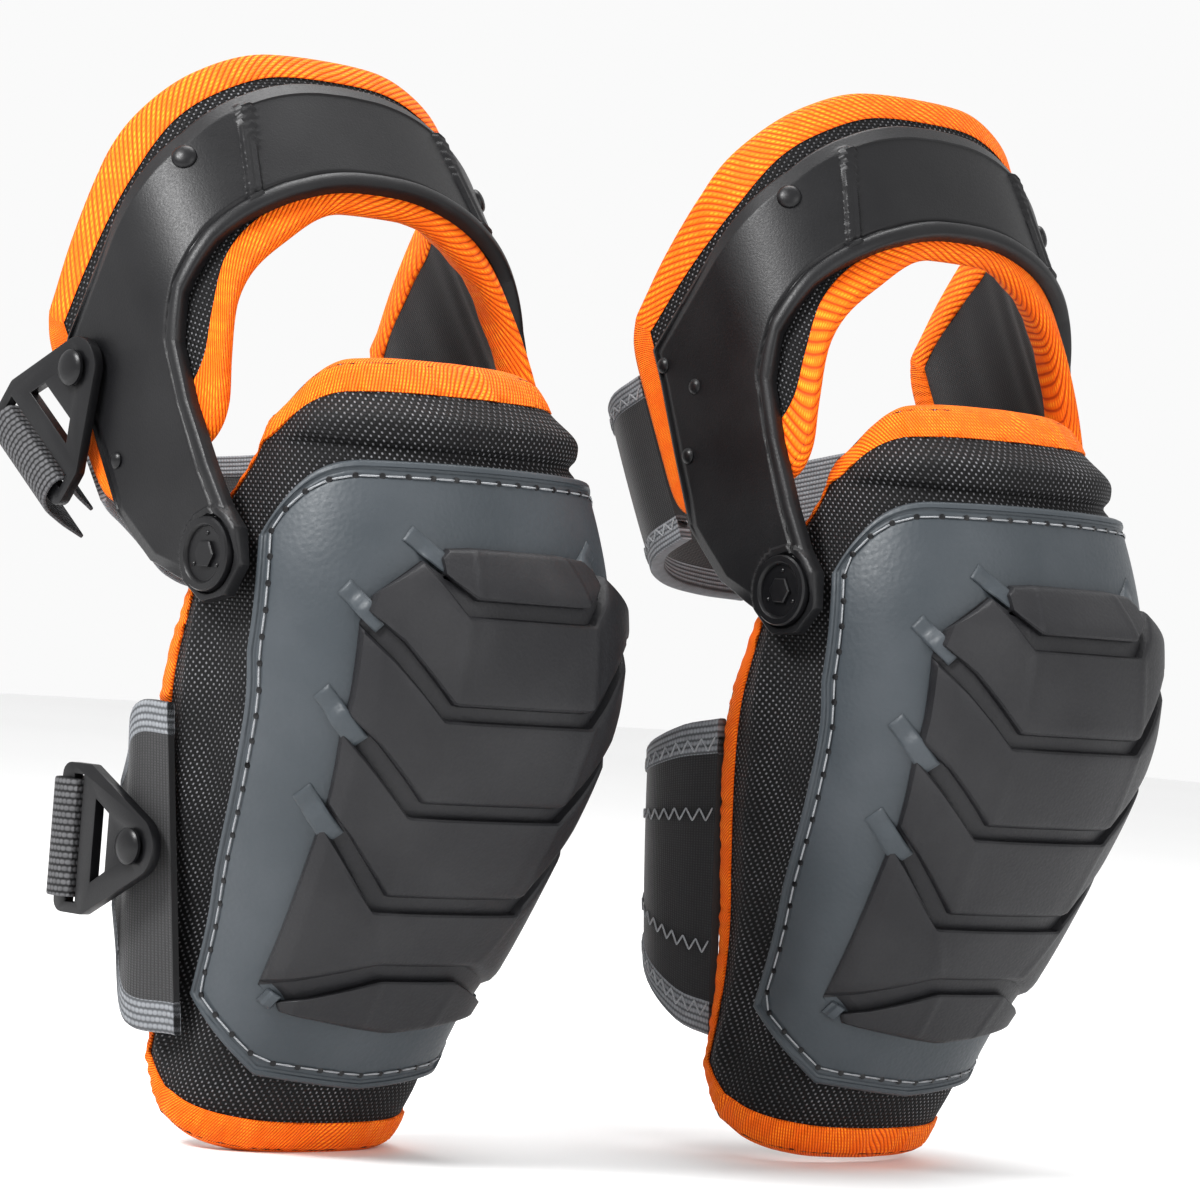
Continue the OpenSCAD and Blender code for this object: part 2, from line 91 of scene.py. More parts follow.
class Wire:
    """One socket of a material's nodes; arithmetic on it adds Math nodes."""

    def __init__(self, bench: "Bench", socket: Any) -> None:
        """Wraps a socket of the bench's node tree."""
        self.bench, self.socket = bench, socket

    def math(self, operation: str, *others: Any) -> "Wire":
        """A Math node of this operation, fed with this wire and the others."""
        values = {i + 1: value for i, value in enumerate(others)}
        return self.bench.node("Math", {"operation": operation}, {0: self, **values})

    def __add__(self, other: Any) -> "Wire":
        """self + other."""
        return self.math("ADD", other)

    def __sub__(self, other: Any) -> "Wire":
        """self - other."""
        return self.math("SUBTRACT", other)

    def __rsub__(self, other: Any) -> "Wire":
        """other - self."""
        return self.bench.node("Math", {"operation": "SUBTRACT"}, {0: other, 1: self})

    def __mul__(self, other: Any) -> "Wire":
        """self * other."""
        return self.math("MULTIPLY", other)

    def __truediv__(self, other: Any) -> "Wire":
        """self / other."""
        return self.math("DIVIDE", other)

    __radd__, __rmul__ = __add__, __mul__

    def ridge(self, pitch: float) -> "Wire":
        """Rounded ridges from 0 to 1 at this pitch, in metres."""
        return (self * (math.pi / pitch)).math("SINE").math("ABSOLUTE")

    def cell(self, pitch: float) -> "Wire":
        """0 and 1 in turn, changing every pitch."""
        return (self / pitch).math("FLOOR").math("MODULO", 2).math("ABSOLUTE")

    def ramp(self, low: float, high: float, to_low: float = 0.0, to_high: float = 1.0) -> "Wire":
        """Maps low..high smoothly to to_low..to_high."""
        return self.bench.node(
            "MapRange",
            {"interpolation_type": "SMOOTHSTEP"},
            {0: self, 1: low, 2: high, 3: to_low, 4: to_high},
        )


class Bench:
    """The node tree of one material."""

    def __init__(self, name: str) -> None:
        """Makes an empty material with a Principled shader."""
        self.material = bpy.data.materials.new(name)
        self.material.use_nodes = True
        self.tree = self.material.node_tree
        self.tree.nodes.clear()
        self.out = self.tree.nodes.new("ShaderNodeOutputMaterial")
        self.shader = self.tree.nodes.new("ShaderNodeBsdfPrincipled")
        self.tree.links.new(self.shader.outputs[0], self.out.inputs[0])

    def node(self, kind: str, settings: dict, inputs: dict, output: Any = 0) -> Wire:
        """Adds any node.

        Args:
            kind: the node's type without its ShaderNode prefix.
            settings: attributes to set first.
            inputs: values or wires by socket number or name.
            output: which output the returned wire holds.
        Returns:
            The wire of that output.
        """
        made = self.tree.nodes.new("ShaderNode" + kind)
        for name, value in settings.items():
            setattr(made, name, value)
        for key, value in inputs.items():
            self.feed(made.inputs[key], value)
        return Wire(self, made.outputs[output])

    def feed(self, socket: Any, value: Any) -> None:
        """Links a wire to a socket, or sets its value."""
        if isinstance(value, Wire):
            self.tree.links.new(value.socket, socket)
        else:
            socket.default_value = value

    def blend(self, share: Any, first: Any, second: Any) -> Wire:
        """Mixes two colours by a share from 0 to 1."""
        rgba = [v if isinstance(v, Wire) else (*v, 1.0) for v in (first, second)]
        return self.node("Mix", {"data_type": "RGBA"}, {0: share, 6: rgba[0], 7: rgba[1]}, 2)

    def cloth(self) -> tuple[Wire, Wire]:
        """The piece's own UV in metres, as two wires."""
        uv = self.node("UVMap", {"uv_map": "cloth"}, {})
        return (
            self.node("SeparateXYZ", {}, {0: uv}, 0),
            self.node("SeparateXYZ", {}, {0: uv}, 1),
        )

    def noise(self, size: float, detail: float = 2.0, rough: float = 0.5) -> Wire:
        """Noise on Object coordinates with blobs about size metres across."""
        place = self.node("TexCoord", {}, {}, "Object")
        return self.node(
            "TexNoise", {}, {"Vector": place, "Scale": 1 / size, "Detail": detail, "Roughness": rough}
        )

    def pebble(self, size: float) -> Wire:
        """Leather-like cells on Object coordinates."""
        place = self.node("TexCoord", {}, {}, "Object")
        return self.node(
            "TexVoronoi", {"feature": "SMOOTH_F1"}, {"Vector": place, "Scale": 1 / size, "Smoothness": 0.6}
        )

    def relief(self, height: Wire, depth: float, strength: float = 1.0) -> None:
        """Bump of this depth in metres on the shader's normal."""
        bump = self.node("Bump", {}, {"Strength": strength, "Distance": depth, "Height": height})
        self.feed(self.shader.inputs["Normal"], bump)

    def finish(self, **sockets: Any) -> bpy.types.Material:
        """Feeds the shader's sockets by name, with _ for a space."""
        for name, value in sockets.items():
            key = name.replace("_", " ")
            if isinstance(value, tuple):
                value = (*value, 1.0)
            self.feed(self.shader.inputs[key], value)
        return self.material


# ---- finishes -----------------------------------------------------------------


@dataclass(frozen=True)
class BasketNylon:
    """Coarse black basket weave whose yarns catch the light in pale flecks."""

    pitch: float = 0.00125
    yarn: tuple = (0.003, 0.003, 0.0035)
    fleck: tuple = (0.17, 0.17, 0.18)

    def make(self) -> bpy.types.Material:
        """The material."""
        b = Bench("ballistic_nylon")
        u, v = b.cloth()
        across, along = u.ridge(self.pitch), v.ridge(self.pitch)
        turn = (u.cell(self.pitch) - v.cell(self.pitch)).math("ABSOLUTE")
        height = across * along
        drift = b.noise(0.02, 3.0).ramp(0.35, 0.7, 0.45, 1.0)
        peak = (height * (turn * 0.75 + 0.25)).ramp(0.4, 0.85) * drift
        b.relief(height * (turn * 0.5 + 0.5), 0.0005, 0.8)
        return b.finish(
            Base_Color=b.blend(peak, self.yarn, self.fleck),
            Roughness=peak.ramp(0.0, 1.0, 0.72, 0.42),
            Specular_IOR_Level=0.3,
        )


@dataclass(frozen=True)
class TwillTape:
    """Bright orange twill tape with yellow lights on its slanted ribs and painted shade in the grooves
    between them.
    """

    rib: float = 0.0019
    # painted shade: the darker orange of the grooves between the ribs
    deep: tuple = (0.5, 0.06, 0.003)
    face: tuple = (0.88, 0.15, 0.004)
    light: tuple = (1.0, 0.34, 0.02)

    def make(self) -> bpy.types.Material:
        """The material."""
        b = Bench("orange_tape")
        u, v = b.cloth()
        slant = u + v * 0.9
        rib = slant.ridge(self.rib)
        thread = v.ridge(0.0011)
        height = rib * (thread * 0.35 + 0.65)
        patch = b.noise(0.006, 3.0).ramp(0.35, 0.65)
        # darker towards the grooves between the ribs: painted shade
        body = b.blend(rib.ramp(0.1, 0.6), self.deep, self.face)
        glint = (height.ramp(0.62, 0.98)) * (patch * 0.75 + 0.15)
        b.relief(height, 0.0005, 0.75)
        return b.finish(
            Base_Color=b.blend(glint, body, self.light), Roughness=0.66, Specular_IOR_Level=0.25
        )


@dataclass(frozen=True)
class Grained:
    """Moulded rubber, sheet or plastic with a fine grain."""

    name: str
    colour: tuple
    worn: tuple
    rough: float
    grain: float = 0.0008
    depth: float = 0.00006
    pebbled: bool = False
    coat: float = 0.0

    def make(self) -> bpy.types.Material:
        """The material."""
        b = Bench(self.name)
        fine = b.noise(self.grain, 3.0, 0.6)
        height = b.pebble(self.grain * 1.4) * 0.6 + fine * 0.4 if self.pebbled else fine
        cloud = b.noise(0.035, 4.0).ramp(0.3, 0.75)
        b.relief(height, self.depth, 0.7)
        rough = fine.ramp(0.2, 0.8, self.rough - 0.06, self.rough + 0.06) + cloud * 0.05
        return b.finish(
            Base_Color=b.blend(cloud, self.colour, self.worn),
            Roughness=rough,
            Coat_Weight=self.coat,
            Specular_IOR_Level=0.36,
        )


@dataclass(frozen=True)
class Knit:
    """Jersey over neoprene, or a smooth lining."""

    name: str
    colour: tuple
    fleck: tuple
    pitch: float = 0.0009

    def make(self) -> bpy.types.Material:
        """The material."""
        b = Bench(self.name)
        u, v = b.cloth()
        loops = u.ridge(self.pitch) * v.ridge(self.pitch * 0.7)
        fuzz = b.noise(0.0007, 3.0, 0.7)
        share = (loops * 0.5 + fuzz * 0.5).ramp(0.42, 0.8)
        b.relief(loops * 0.5 + fuzz * 0.5, 0.00025, 0.7)
        return b.finish(
            Base_Color=b.blend(share, self.colour, self.fleck), Roughness=0.85, Sheen_Weight=0.25
        )


@dataclass(frozen=True)
class Ribbed:
    """Elastic or webbing with ribs along its length and short picks across."""

    name: str
    # colour in the grooves: painted shade, except on the webbing, where it is the yarn's own black
    groove: tuple
    # colour on the ribs: the yarn's own grey, except on the webbing, where it is a painted highlight
    rib: tuple
    pitch: float = 0.0016
    pick: float = 0.0011

    def make(self) -> bpy.types.Material:
        """The material."""
        b = Bench(self.name)
        u, v = b.cloth()
        ribs, picks = v.ridge(self.pitch), (u + v.cell(self.pitch) * (self.pick / 2)).ridge(self.pick)
        height = ribs * (picks * 0.5 + 0.5)
        mottle = b.noise(0.003, 2.0).ramp(0.3, 0.7, 0.75, 1.0)
        b.relief(height, 0.0004, 0.8)
        # darker in the grooves and paler on the ribs by rib height: painted shade in the grooves, and on
        # the webbing painted highlights on the ribs
        share = height.ramp(0.15, 0.8) * mottle
        return b.finish(Base_Color=b.blend(share, self.groove, self.rib), Roughness=0.78)


@dataclass(frozen=True)
class Metal:
    """Plain brushed steel."""

    name: str = "steel"

    def make(self) -> bpy.types.Material:
        """The material."""
        b = Bench(self.name)
        streak = b.noise(0.0009, 3.0)
        b.relief(streak, 0.00002)
        return b.finish(
            Base_Color=b.blend(streak, (0.42, 0.42, 0.44), (0.58, 0.58, 0.6)),
            Roughness=streak.ramp(0.2, 0.8, 0.28, 0.4),
            Metallic=1.0,
        )


class Wardrobe:
    """Every finish of the object, made once, by slot."""

    def __init__(self) -> None:
        """Makes the materials."""
        finishes = {
            Slot.NYLON: BasketNylon(),
            Slot.TAPE: TwillTape(),
            Slot.SHIELD: Grained(
                "shield_vinyl", (0.042, 0.05, 0.057), (0.056, 0.064, 0.072), 0.44, 0.0012, 0.0002, True
            ),
            Slot.CAP: Grained(
                "cap_rubber", (0.013, 0.013, 0.015), (0.023, 0.023, 0.025), 0.5, 0.0009, 0.00018, True
            ),
            Slot.YOKE: Grained(
                "yoke_plastic", (0.006, 0.006, 0.007), (0.011, 0.011, 0.012), 0.4, 0.0007, 0.0001
            ),
            Slot.PLASTIC: Grained(
                "black_plastic", (0.005, 0.005, 0.006), (0.01, 0.01, 0.011), 0.34, 0.0006, 0.00003
            ),
            Slot.BUCKLE: Grained(
                "buckle_plastic", (0.006, 0.006, 0.007), (0.012, 0.012, 0.013), 0.38, 0.0007, 0.00004
            ),
            Slot.NEOPRENE: Knit("neoprene", (0.004, 0.004, 0.005), (0.02, 0.02, 0.022)),
            Slot.LINER: Knit("liner_fabric", (0.01, 0.01, 0.011), (0.035, 0.035, 0.038), 0.0014),
            # grey elastic: its own grey on the ribs, painted shade in the grooves
            Slot.ELASTIC: Ribbed("grey_elastic", (0.07, 0.074, 0.08), (0.23, 0.24, 0.255)),
            # webbing: black yarn in the grooves, painted pale highlights on the ribs
            Slot.WEBBING: Ribbed("webbing", (0.004, 0.004, 0.005), (0.1, 0.1, 0.105), 0.0021, 0.0016),
            Slot.FOAM: Grained("foam", (0.05, 0.05, 0.055), (0.07, 0.07, 0.075), 0.9, 0.0012, 0.0003, True),
            Slot.GEL: Grained(
                "gel", (0.08, 0.18, 0.36), (0.12, 0.26, 0.46), 0.2, 0.004, 0.0001, False, 0.6
            ),
            Slot.WASHER: Grained("nylon_washer", (0.62, 0.62, 0.6), (0.72, 0.72, 0.7), 0.5, 0.001, 0.00003),
            Slot.STEEL: Metal(),
        }
        self.materials = {slot: finish.make() for slot, finish in finishes.items()}
        # pale thread: its own pale grey on the ribs, painted shade in the grooves
        thread = Ribbed("pale_thread", (0.2, 0.21, 0.22), (0.45, 0.46, 0.48), 0.0004, 0.0006)
        self.thread = thread.make()

    def dress(self, piece: bpy.types.Object, slot: Slot) -> None:
        """Gives a piece the finish of a slot."""
        piece.data.materials.clear()
        piece.data.materials.append(self.materials[slot])


# ---- shapes --------------------------------------------------------------------


class Taper:
    """A smooth curve through (place, value) knots, level outside them."""

    def __init__(self, *knots: tuple[float, float]) -> None:
        """Works out the slope at each knot."""
        table = np.array(sorted(knots), float)
        self.x, self.y = table[:, 0], table[:, 1]
        step = np.diff(self.y) / np.diff(self.x)
        self.slope = np.concatenate([step[:1], (step[:-1] + step[1:]) / 2, step[-1:]])
        flat = step[:-1] * step[1:] <= 0
        self.slope[1:-1][flat] = 0

    def __call__(self, at: Any) -> Points:
        """The values at these places."""
        at = np.clip(np.asarray(at, float), self.x[0], self.x[-1])
        k = np.clip(np.searchsorted(self.x, at) - 1, 0, len(self.x) - 2)
        h = self.x[k + 1] - self.x[k]
        t = (at - self.x[k]) / h
        a, b = self.y[k], self.y[k + 1]
        return (
            a * (1 + 2 * t) * (1 - t) ** 2
            + self.slope[k] * h * t * (1 - t) ** 2
            + b * t * t * (3 - 2 * t)
            + self.slope[k + 1] * h * t * t * (t - 1)
        )


def linear(knots: Sequence[tuple[float, float]], at: Any) -> Points:
    """Straight-line lookup in a table that rises in its first column."""
    return np.interp(at, [k[0] for k in knots], [k[1] for k in knots])


def ease(share: Any) -> Points:
    """A smooth step from 0 to 1."""
    t = np.clip(share, 0, 1)
    return t * t * (3 - 2 * t)


def marks(*stops: tuple[float, int]) -> Points:
    """Places from the first stop on, each stop reached in its number of even steps."""
    places = [stops[0][0]]
    for (low, _), (high, steps) in zip(stops, stops[1:]):
        places += list(low + (high - low) * np.arange(1, steps + 1) / steps)
    return np.array(places)


def both_ways(half: Points) -> Points:
    """Marks from 0 to 1 mirrored to run from -1 to 1."""
    return np.concatenate([-half[:0:-1], half])


# share of a U's half that is curved; its straight leg is the rest
ROUND_SHARE = 0.72


@dataclass
class PadForm:
    """The outer form of a lower pad: rounded U plans stacked by height, in millimetres."""

    top: float = 63.0
    bottom: float = -184.0
    power: float = 2.5
    front: Taper = Taper(
        (-187, 10), (-170, 3), (-155, -5), (-133, -18), (-112, -30), (-91, -40), (-58, -54),
        (-35, -59), (-12, -58), (12, -53), (33, -46), (50, -38), (63, -29),
    )
    half: Taper = Taper(
        (-187, 48), (-155, 48), (-133, 49), (-112, 52), (-91, 57), (-58, 64), (-35, 67.5),
        (-12, 68), (0, 67.5), (12, 65), (33, 59), (50, 54), (63, 50),
    )
    depth: Taper = Taper(
        (-187, 36), (-155, 39), (-133, 42), (-112, 46), (-91, 51), (-58, 57), (-35, 60),
        (-12, 60), (12, 55), (33, 49), (50, 43), (63, 36),
    )
    back: Taper = Taper(
        (-187, 57), (-165, 54), (-140, 49), (-100, 43), (-42, 34), (-16, 25), (0, 19),
        (20, 14), (40, 8), (63, 8),
    )
    drop: Taper = Taper((0, 0), (0.35, 1), (0.5, 3), (0.62, 9), (0.72, 19), (0.86, 34), (1, 50))
    rise: Taper = Taper((0, 0), (0.3, 1), (0.6, 5), (0.72, 9), (0.86, 15), (1, 24))
    levels: Points = field(default_factory=lambda: np.linspace(-190, 66, 65))
    shares: Points = field(default_factory=lambda: np.linspace(0, 1, 241))

    def __post_init__(self) -> None:
        """Measures the length round the U at every level."""
        plan = self.at(*np.meshgrid(self.shares, self.levels), 0)
        steps = np.linalg.norm(np.diff(plan[..., :2], axis=1), axis=2)
        start = np.zeros((len(self.levels), 1))
        self.lengths = np.concatenate([start, np.cumsum(steps, axis=1)], axis=1)

    def at(self, share: Points, z: Points, out: Any) -> Points:
        """Points at a share of the half U, a height, and a distance outwards."""
        w, d = self.half(z) + out, self.depth(z) + out
        centre = self.front(z) + self.depth(z)
        a = np.minimum(1, np.abs(share) / ROUND_SHARE) * (math.pi / 2)
        run = np.maximum(0, np.abs(share) - ROUND_SHARE) / (1 - ROUND_SHARE)
        x = w * np.sin(a) ** (2 / self.power) * np.sign(share)
        y = centre - d * np.clip(np.cos(a), 0, 1) ** (2 / self.power) + run * (self.back(z) - centre)
        return np.stack([x, y, z + 0 * x], axis=-1)

    def length(self, share: Points, z: Points) -> Points:
        """Signed length round the U from its front, in millimetres."""
        row = np.interp(z, self.levels, np.arange(len(self.levels)))
        k = np.clip(row.astype(int), 0, len(self.levels) - 2)
        f = row - k
        col = np.clip(np.abs(share), 0, 1) * (len(self.shares) - 1)
        j = np.clip(col.astype(int), 0, len(self.shares) - 2)
        g = col - j
        low = self.lengths[k, j] * (1 - g) + self.lengths[k, j + 1] * g
        high = self.lengths[k + 1, j] * (1 - g) + self.lengths[k + 1, j + 1] * g
        return np.sign(share) * (low * (1 - f) + high * f)

    def share(self, length: Points, z: Points) -> Points:
        """The share of the half U at a signed length."""
        row = np.interp(z, self.levels, np.arange(len(self.levels)))
        k = np.clip(row.astype(int), 0, len(self.levels) - 2)
        f = (row - k)[:, None]
        table = self.lengths[k] * (1 - f) + self.lengths[k + 1] * f
        want = np.abs(length)
        j = np.clip((table < want[:, None]).sum(axis=1), 1, len(self.shares) - 1)
        n = np.arange(len(want))
        low, high = table[n, j - 1], table[n, j]
        t = (want - low) / np.maximum(high - low, 1e-6)
        return np.sign(length) * (self.shares[j - 1] + t * (self.shares[1] - self.shares[0]))

    def place(self, length: Points, z: Points, out: Any) -> Points:
        """Points at a signed length round the U, a height, and a distance outwards."""
        return self.at(self.share(length, z), z, out)

    def patch(self, p: Points, q: Points) -> tuple[Points, Points]:
        """(share, height) of a point of the padded patch, p and q from -1 to 1."""
        pull = 1 - 0.035 * (p * q) ** 8
        p, q = p * pull, q * pull
        low = self.bottom + self.rise(np.abs(p))
        high = self.top - self.drop(np.abs(p))
        return p, low + (high - low) * (q + 1) / 2


@dataclass
class CuffForm:
    """The outer form of the yoke: one rounded U, upright in the cuff's own frame."""

    half: float = 74.0
    depth: float = 50.0
    centre: float = 4.0
    power: float = 2.3
    back: float = -40.0
    steps: int = 400

    def __post_init__(self) -> None:
        """Measures the length round the curved part."""
        a = np.linspace(0, math.pi / 2, self.steps)
        x = self.half * np.sin(a) ** (2 / self.power)
        f = self.centre + self.depth * np.cos(a) ** (2 / self.power)
        self.arc = np.concatenate([[0], np.cumsum(np.hypot(np.diff(x), np.diff(f)))])
        self.xs, self.fs = x, f
        self.curved = self.arc[-1]
        self.nx = np.gradient(-f)
        self.nf = np.gradient(x)
        size = np.hypot(self.nx, self.nf)
        self.nx, self.nf = self.nx / size, self.nf / size

    def place(self, c: Points, t: Points, out: Any) -> Points:
        """Points at a signed length round the U, a height, and a distance outwards."""
        side, far = np.sign(c), np.abs(c)
        x = np.interp(far, self.arc, self.xs) + np.interp(far, self.arc, self.nx) * out
        f = np.interp(far, self.arc, self.fs) + np.interp(far, self.arc, self.nf) * out
        f = f - np.maximum(0, far - self.curved)
        return np.stack([x * side, -f, t + 0 * x], axis=-1)

    def share_length(self, share: Points) -> Points:
        """The length round the U at a share of its half, counted as the frame does."""
        a = np.minimum(1, np.abs(share) / ROUND_SHARE) * (math.pi / 2)
        run = np.maximum(0, np.abs(share) - ROUND_SHARE) / (1 - ROUND_SHARE)
        curve = np.interp(a, np.linspace(0, math.pi / 2, self.steps), self.arc)
        return np.sign(share) * (curve + run * (self.centre - self.back))


# ---- making meshes ---------------------------------------------------------------


class Bench3D:
    """Blender's operators, as this object's pieces need them."""

    @staticmethod
    def clear() -> None:
        """Deselects everything."""
        bpy.ops.object.select_all(action="DESELECT")

    @classmethod
    def hold(cls, piece: bpy.types.Object) -> None:
        """Makes one piece the only selected and active one."""
        cls.clear()
        piece.select_set(True)
        bpy.context.view_layer.objects.active = piece

    @classmethod
    def apply(cls, piece: bpy.types.Object, kind: str, **settings: Any) -> None:
        """Adds a modifier and applies it."""
        cls.hold(piece)
        modifier = piece.modifiers.new(kind.lower(), kind)
        for name, value in settings.items():
            setattr(modifier, name, value)
        bpy.ops.object.modifier_apply(modifier=modifier.name)

    @classmethod
    def named(cls, name: str) -> bpy.types.Object:
        """The active object, renamed."""
        piece = bpy.context.view_layer.objects.active
        piece.name = piece.data.name = name
        return piece

    @classmethod
    def edit(cls, piece: bpy.types.Object, *steps: Callable[[], Any]) -> None:
        """Runs edit-mode operators with the whole mesh selected first."""
        cls.hold(piece)
        bpy.ops.object.mode_set(mode="EDIT")
        bpy.ops.mesh.select_all(action="SELECT")
        for step in steps:
            step()
        bpy.ops.object.mode_set(mode="OBJECT")

    @classmethod
    def sheet(
        cls,
        name: str,
        p: Points,
        q: Points,
        outer: Surface,
        inner: Optional[Surface] = None,
        uv: Optional[Surface] = None,
        closed: bool = False,
        sharp: float = 40.0,
    ) -> bpy.types.Object:
        """A grid laid on a surface, with a wall where there's an inner one.

        Args:
            name: the piece's name.
            p: where its columns lie, and q where its rows lie.
            outer: gives the points of the front, in millimetres, for (p, q).
            inner: gives the points of the back, or None for a single skin.
            uv: gives the cloth coordinates, in millimetres.
            closed: the grid's borders meet and are merged.
            sharp: edges above this angle stay sharp, in degrees.
        Returns:
            The new object.
        """
        cls.clear()
        bpy.ops.mesh.primitive_grid_add(x_subdivisions=len(p) - 1, y_subdivisions=len(q) - 1, size=2)
        piece = cls.named(name)
        if inner is not None:
            cls.apply(piece, "SOLIDIFY", thickness=0.01, offset=-1)
        mesh = piece.data
        count = len(mesh.vertices)
        flat = np.empty(count * 3)
        mesh.vertices.foreach_get("co", flat)
        flat = flat.reshape(-1, 3)
        i = np.rint((flat[:, 0] + 1) / 2 * (len(p) - 1)).astype(int)
        j = np.rint((flat[:, 1] + 1) / 2 * (len(q) - 1)).astype(int)
        pp, qq = p[np.clip(i, 0, len(p) - 1)], q[np.clip(j, 0, len(q) - 1)]
        place = outer(pp, qq)
        if inner is not None:
            half = count // 2
            place[half:] = inner(pp[half:], qq[half:])
        mesh.vertices.foreach_set("co", (place * MM).ravel())
        cls.lay_cloth(mesh, uv(pp, qq) if uv else place[:, [0, 2]])
        mesh.update()
        near = 1e-6 if closed else 1e-7
        cls.edit(piece, lambda: bpy.ops.mesh.remove_doubles(threshold=near))
        if inner is not None or closed:
            cls.edit(piece, lambda: bpy.ops.mesh.normals_make_consistent(inside=False))
        cls.smooth(piece, sharp)
        return piece

    @staticmethod
    def lay_cloth(mesh: bpy.types.Mesh, coordinates: Points) -> None:
        """Writes per-vertex cloth coordinates, in millimetres, as a UV map in metres."""
        layer = mesh.uv_layers.active or mesh.uv_layers.new()
        layer.name = "cloth"
        corners = np.empty(len(mesh.loops), dtype=int)
        mesh.loops.foreach_get("vertex_index", corners)
        layer.data.foreach_set("uv", (coordinates * MM)[corners].ravel())

    @classmethod
    def smooth(cls, piece: bpy.types.Object, sharp: float = 40.0) -> None:
        """Shades smooth below an angle in degrees."""
        cls.hold(piece)
        bpy.ops.object.shade_smooth_by_angle(angle=math.radians(sharp))

    @classmethod
    def join(cls, name: str, pieces: Sequence[bpy.types.Object]) -> bpy.types.Object:
        """Joins pieces into one."""
        cls.clear()
        for piece in pieces:
            piece.select_set(True)
        bpy.context.view_layer.objects.active = pieces[0]
        bpy.ops.object.join()
        return cls.named(name)

    @classmethod
    def turned(
        cls, name: str, steps: Sequence[tuple[float, float]], sides: int = 48
    ) -> bpy.types.Object:
        """A round piece about +Z, grown ring by ring.

        Args:
            name: the piece's name.
            steps: (radius, height) of each ring in millimetres; the first and last are filled.
            sides: how many sides the round has.
        Returns:
            The new object, centred on the origin.
        """
        cls.clear()
        radius, level = steps[0]
        bpy.ops.mesh.primitive_circle_add(
            vertices=sides, radius=radius * MM, fill_type="NGON", location=(0, 0, level * MM)
        )
        piece = cls.named(name)
        bpy.ops.object.transform_apply(location=True, rotation=False, scale=False)
        bpy.ops.object.mode_set(mode="EDIT")
        bpy.ops.mesh.select_all(action="SELECT")
        for wide, high in steps[1:]:
            bpy.ops.mesh.extrude_region_move(
                TRANSFORM_OT_translate={"value": (0, 0, (high - level) * MM)}
            )
            grow = wide / radius
            bpy.ops.transform.resize(value=(grow, grow, 1), center_override=(0, 0, high * MM))
            radius, level = wide, high
        bpy.ops.mesh.select_all(action="SELECT")
        bpy.ops.mesh.normals_make_consistent(inside=False)
        bpy.ops.object.mode_set(mode="OBJECT")
        cls.smooth(piece, 35)
        return piece

    @classmethod
    def beads(
        cls, name: str, ends: Sequence[tuple[Points, Points]], radius: float
    ) -> bpy.types.Object:
        """Short threads, each from one point to another, as one piece.

        Args:
            name: the piece's name.
            ends: pairs of points in millimetres.
            radius: the thread's radius in millimetres.
        Returns:
            The joined piece.
        """
        cls.clear()
        bpy.ops.mesh.primitive_cylinder_add(vertices=6, radius=1, depth=2, end_fill_type="NGON")
        model = cls.named(name)
        cls.edit(model, lambda: bpy.ops.mesh.bevel(offset=0.35, segments=1, affect="EDGES"))
        base = np.empty(len(model.data.vertices) * 3)
        model.data.vertices.foreach_get("co", base)
        base = base.reshape(-1, 3)
        count = len(base)
        faces = [tuple(f.vertices) for f in model.data.polygons]
        verts, polys = [], []
        for k, (a, b) in enumerate(ends):
            along = (b - a) / max(np.linalg.norm(b - a), 1e-6)
            side = np.cross(along, [0.31, 0.2, 0.93])
            side /= np.linalg.norm(side)
            third = np.cross(along, side)
            middle, half = (a + b) / 2, np.linalg.norm(b - a) / 2
            round_it = base[:, :1] * radius * side + base[:, 1:2] * radius * third
            verts.append(middle + round_it + base[:, 2:] * half * along)
            polys += [tuple(v + k * count for v in f) for f in faces]
        mesh = bpy.data.meshes.new(name)
        mesh.from_pydata((np.concatenate(verts) * MM).tolist(), [], polys)
        model.data = mesh
        cls.lay_cloth(mesh, np.concatenate(verts)[:, [0, 2]])
        cls.edit(model, lambda: bpy.ops.mesh.normals_make_consistent(inside=False))
        cls.smooth(model, 60)
        return model


@dataclass(frozen=True)
class Stance:
    """Where one pad of the pair stands."""

    side: str
    shift: Vector
    lean: float

    def matrix(self, on_cuff: bool) -> Matrix:
        """Takes the design's place to the row frame's, for the pad or its thigh cuff."""
        turn = Matrix.Rotation(-self.lean, 4, "X") if on_cuff else Matrix.Identity(4)
        if self.side == "left":
            return turn
        return Matrix.Translation(self.shift) @ Matrix.Diagonal((-1, 1, 1, 1)) @ turn


UPPER_POST = (-74.1, 24, 85)


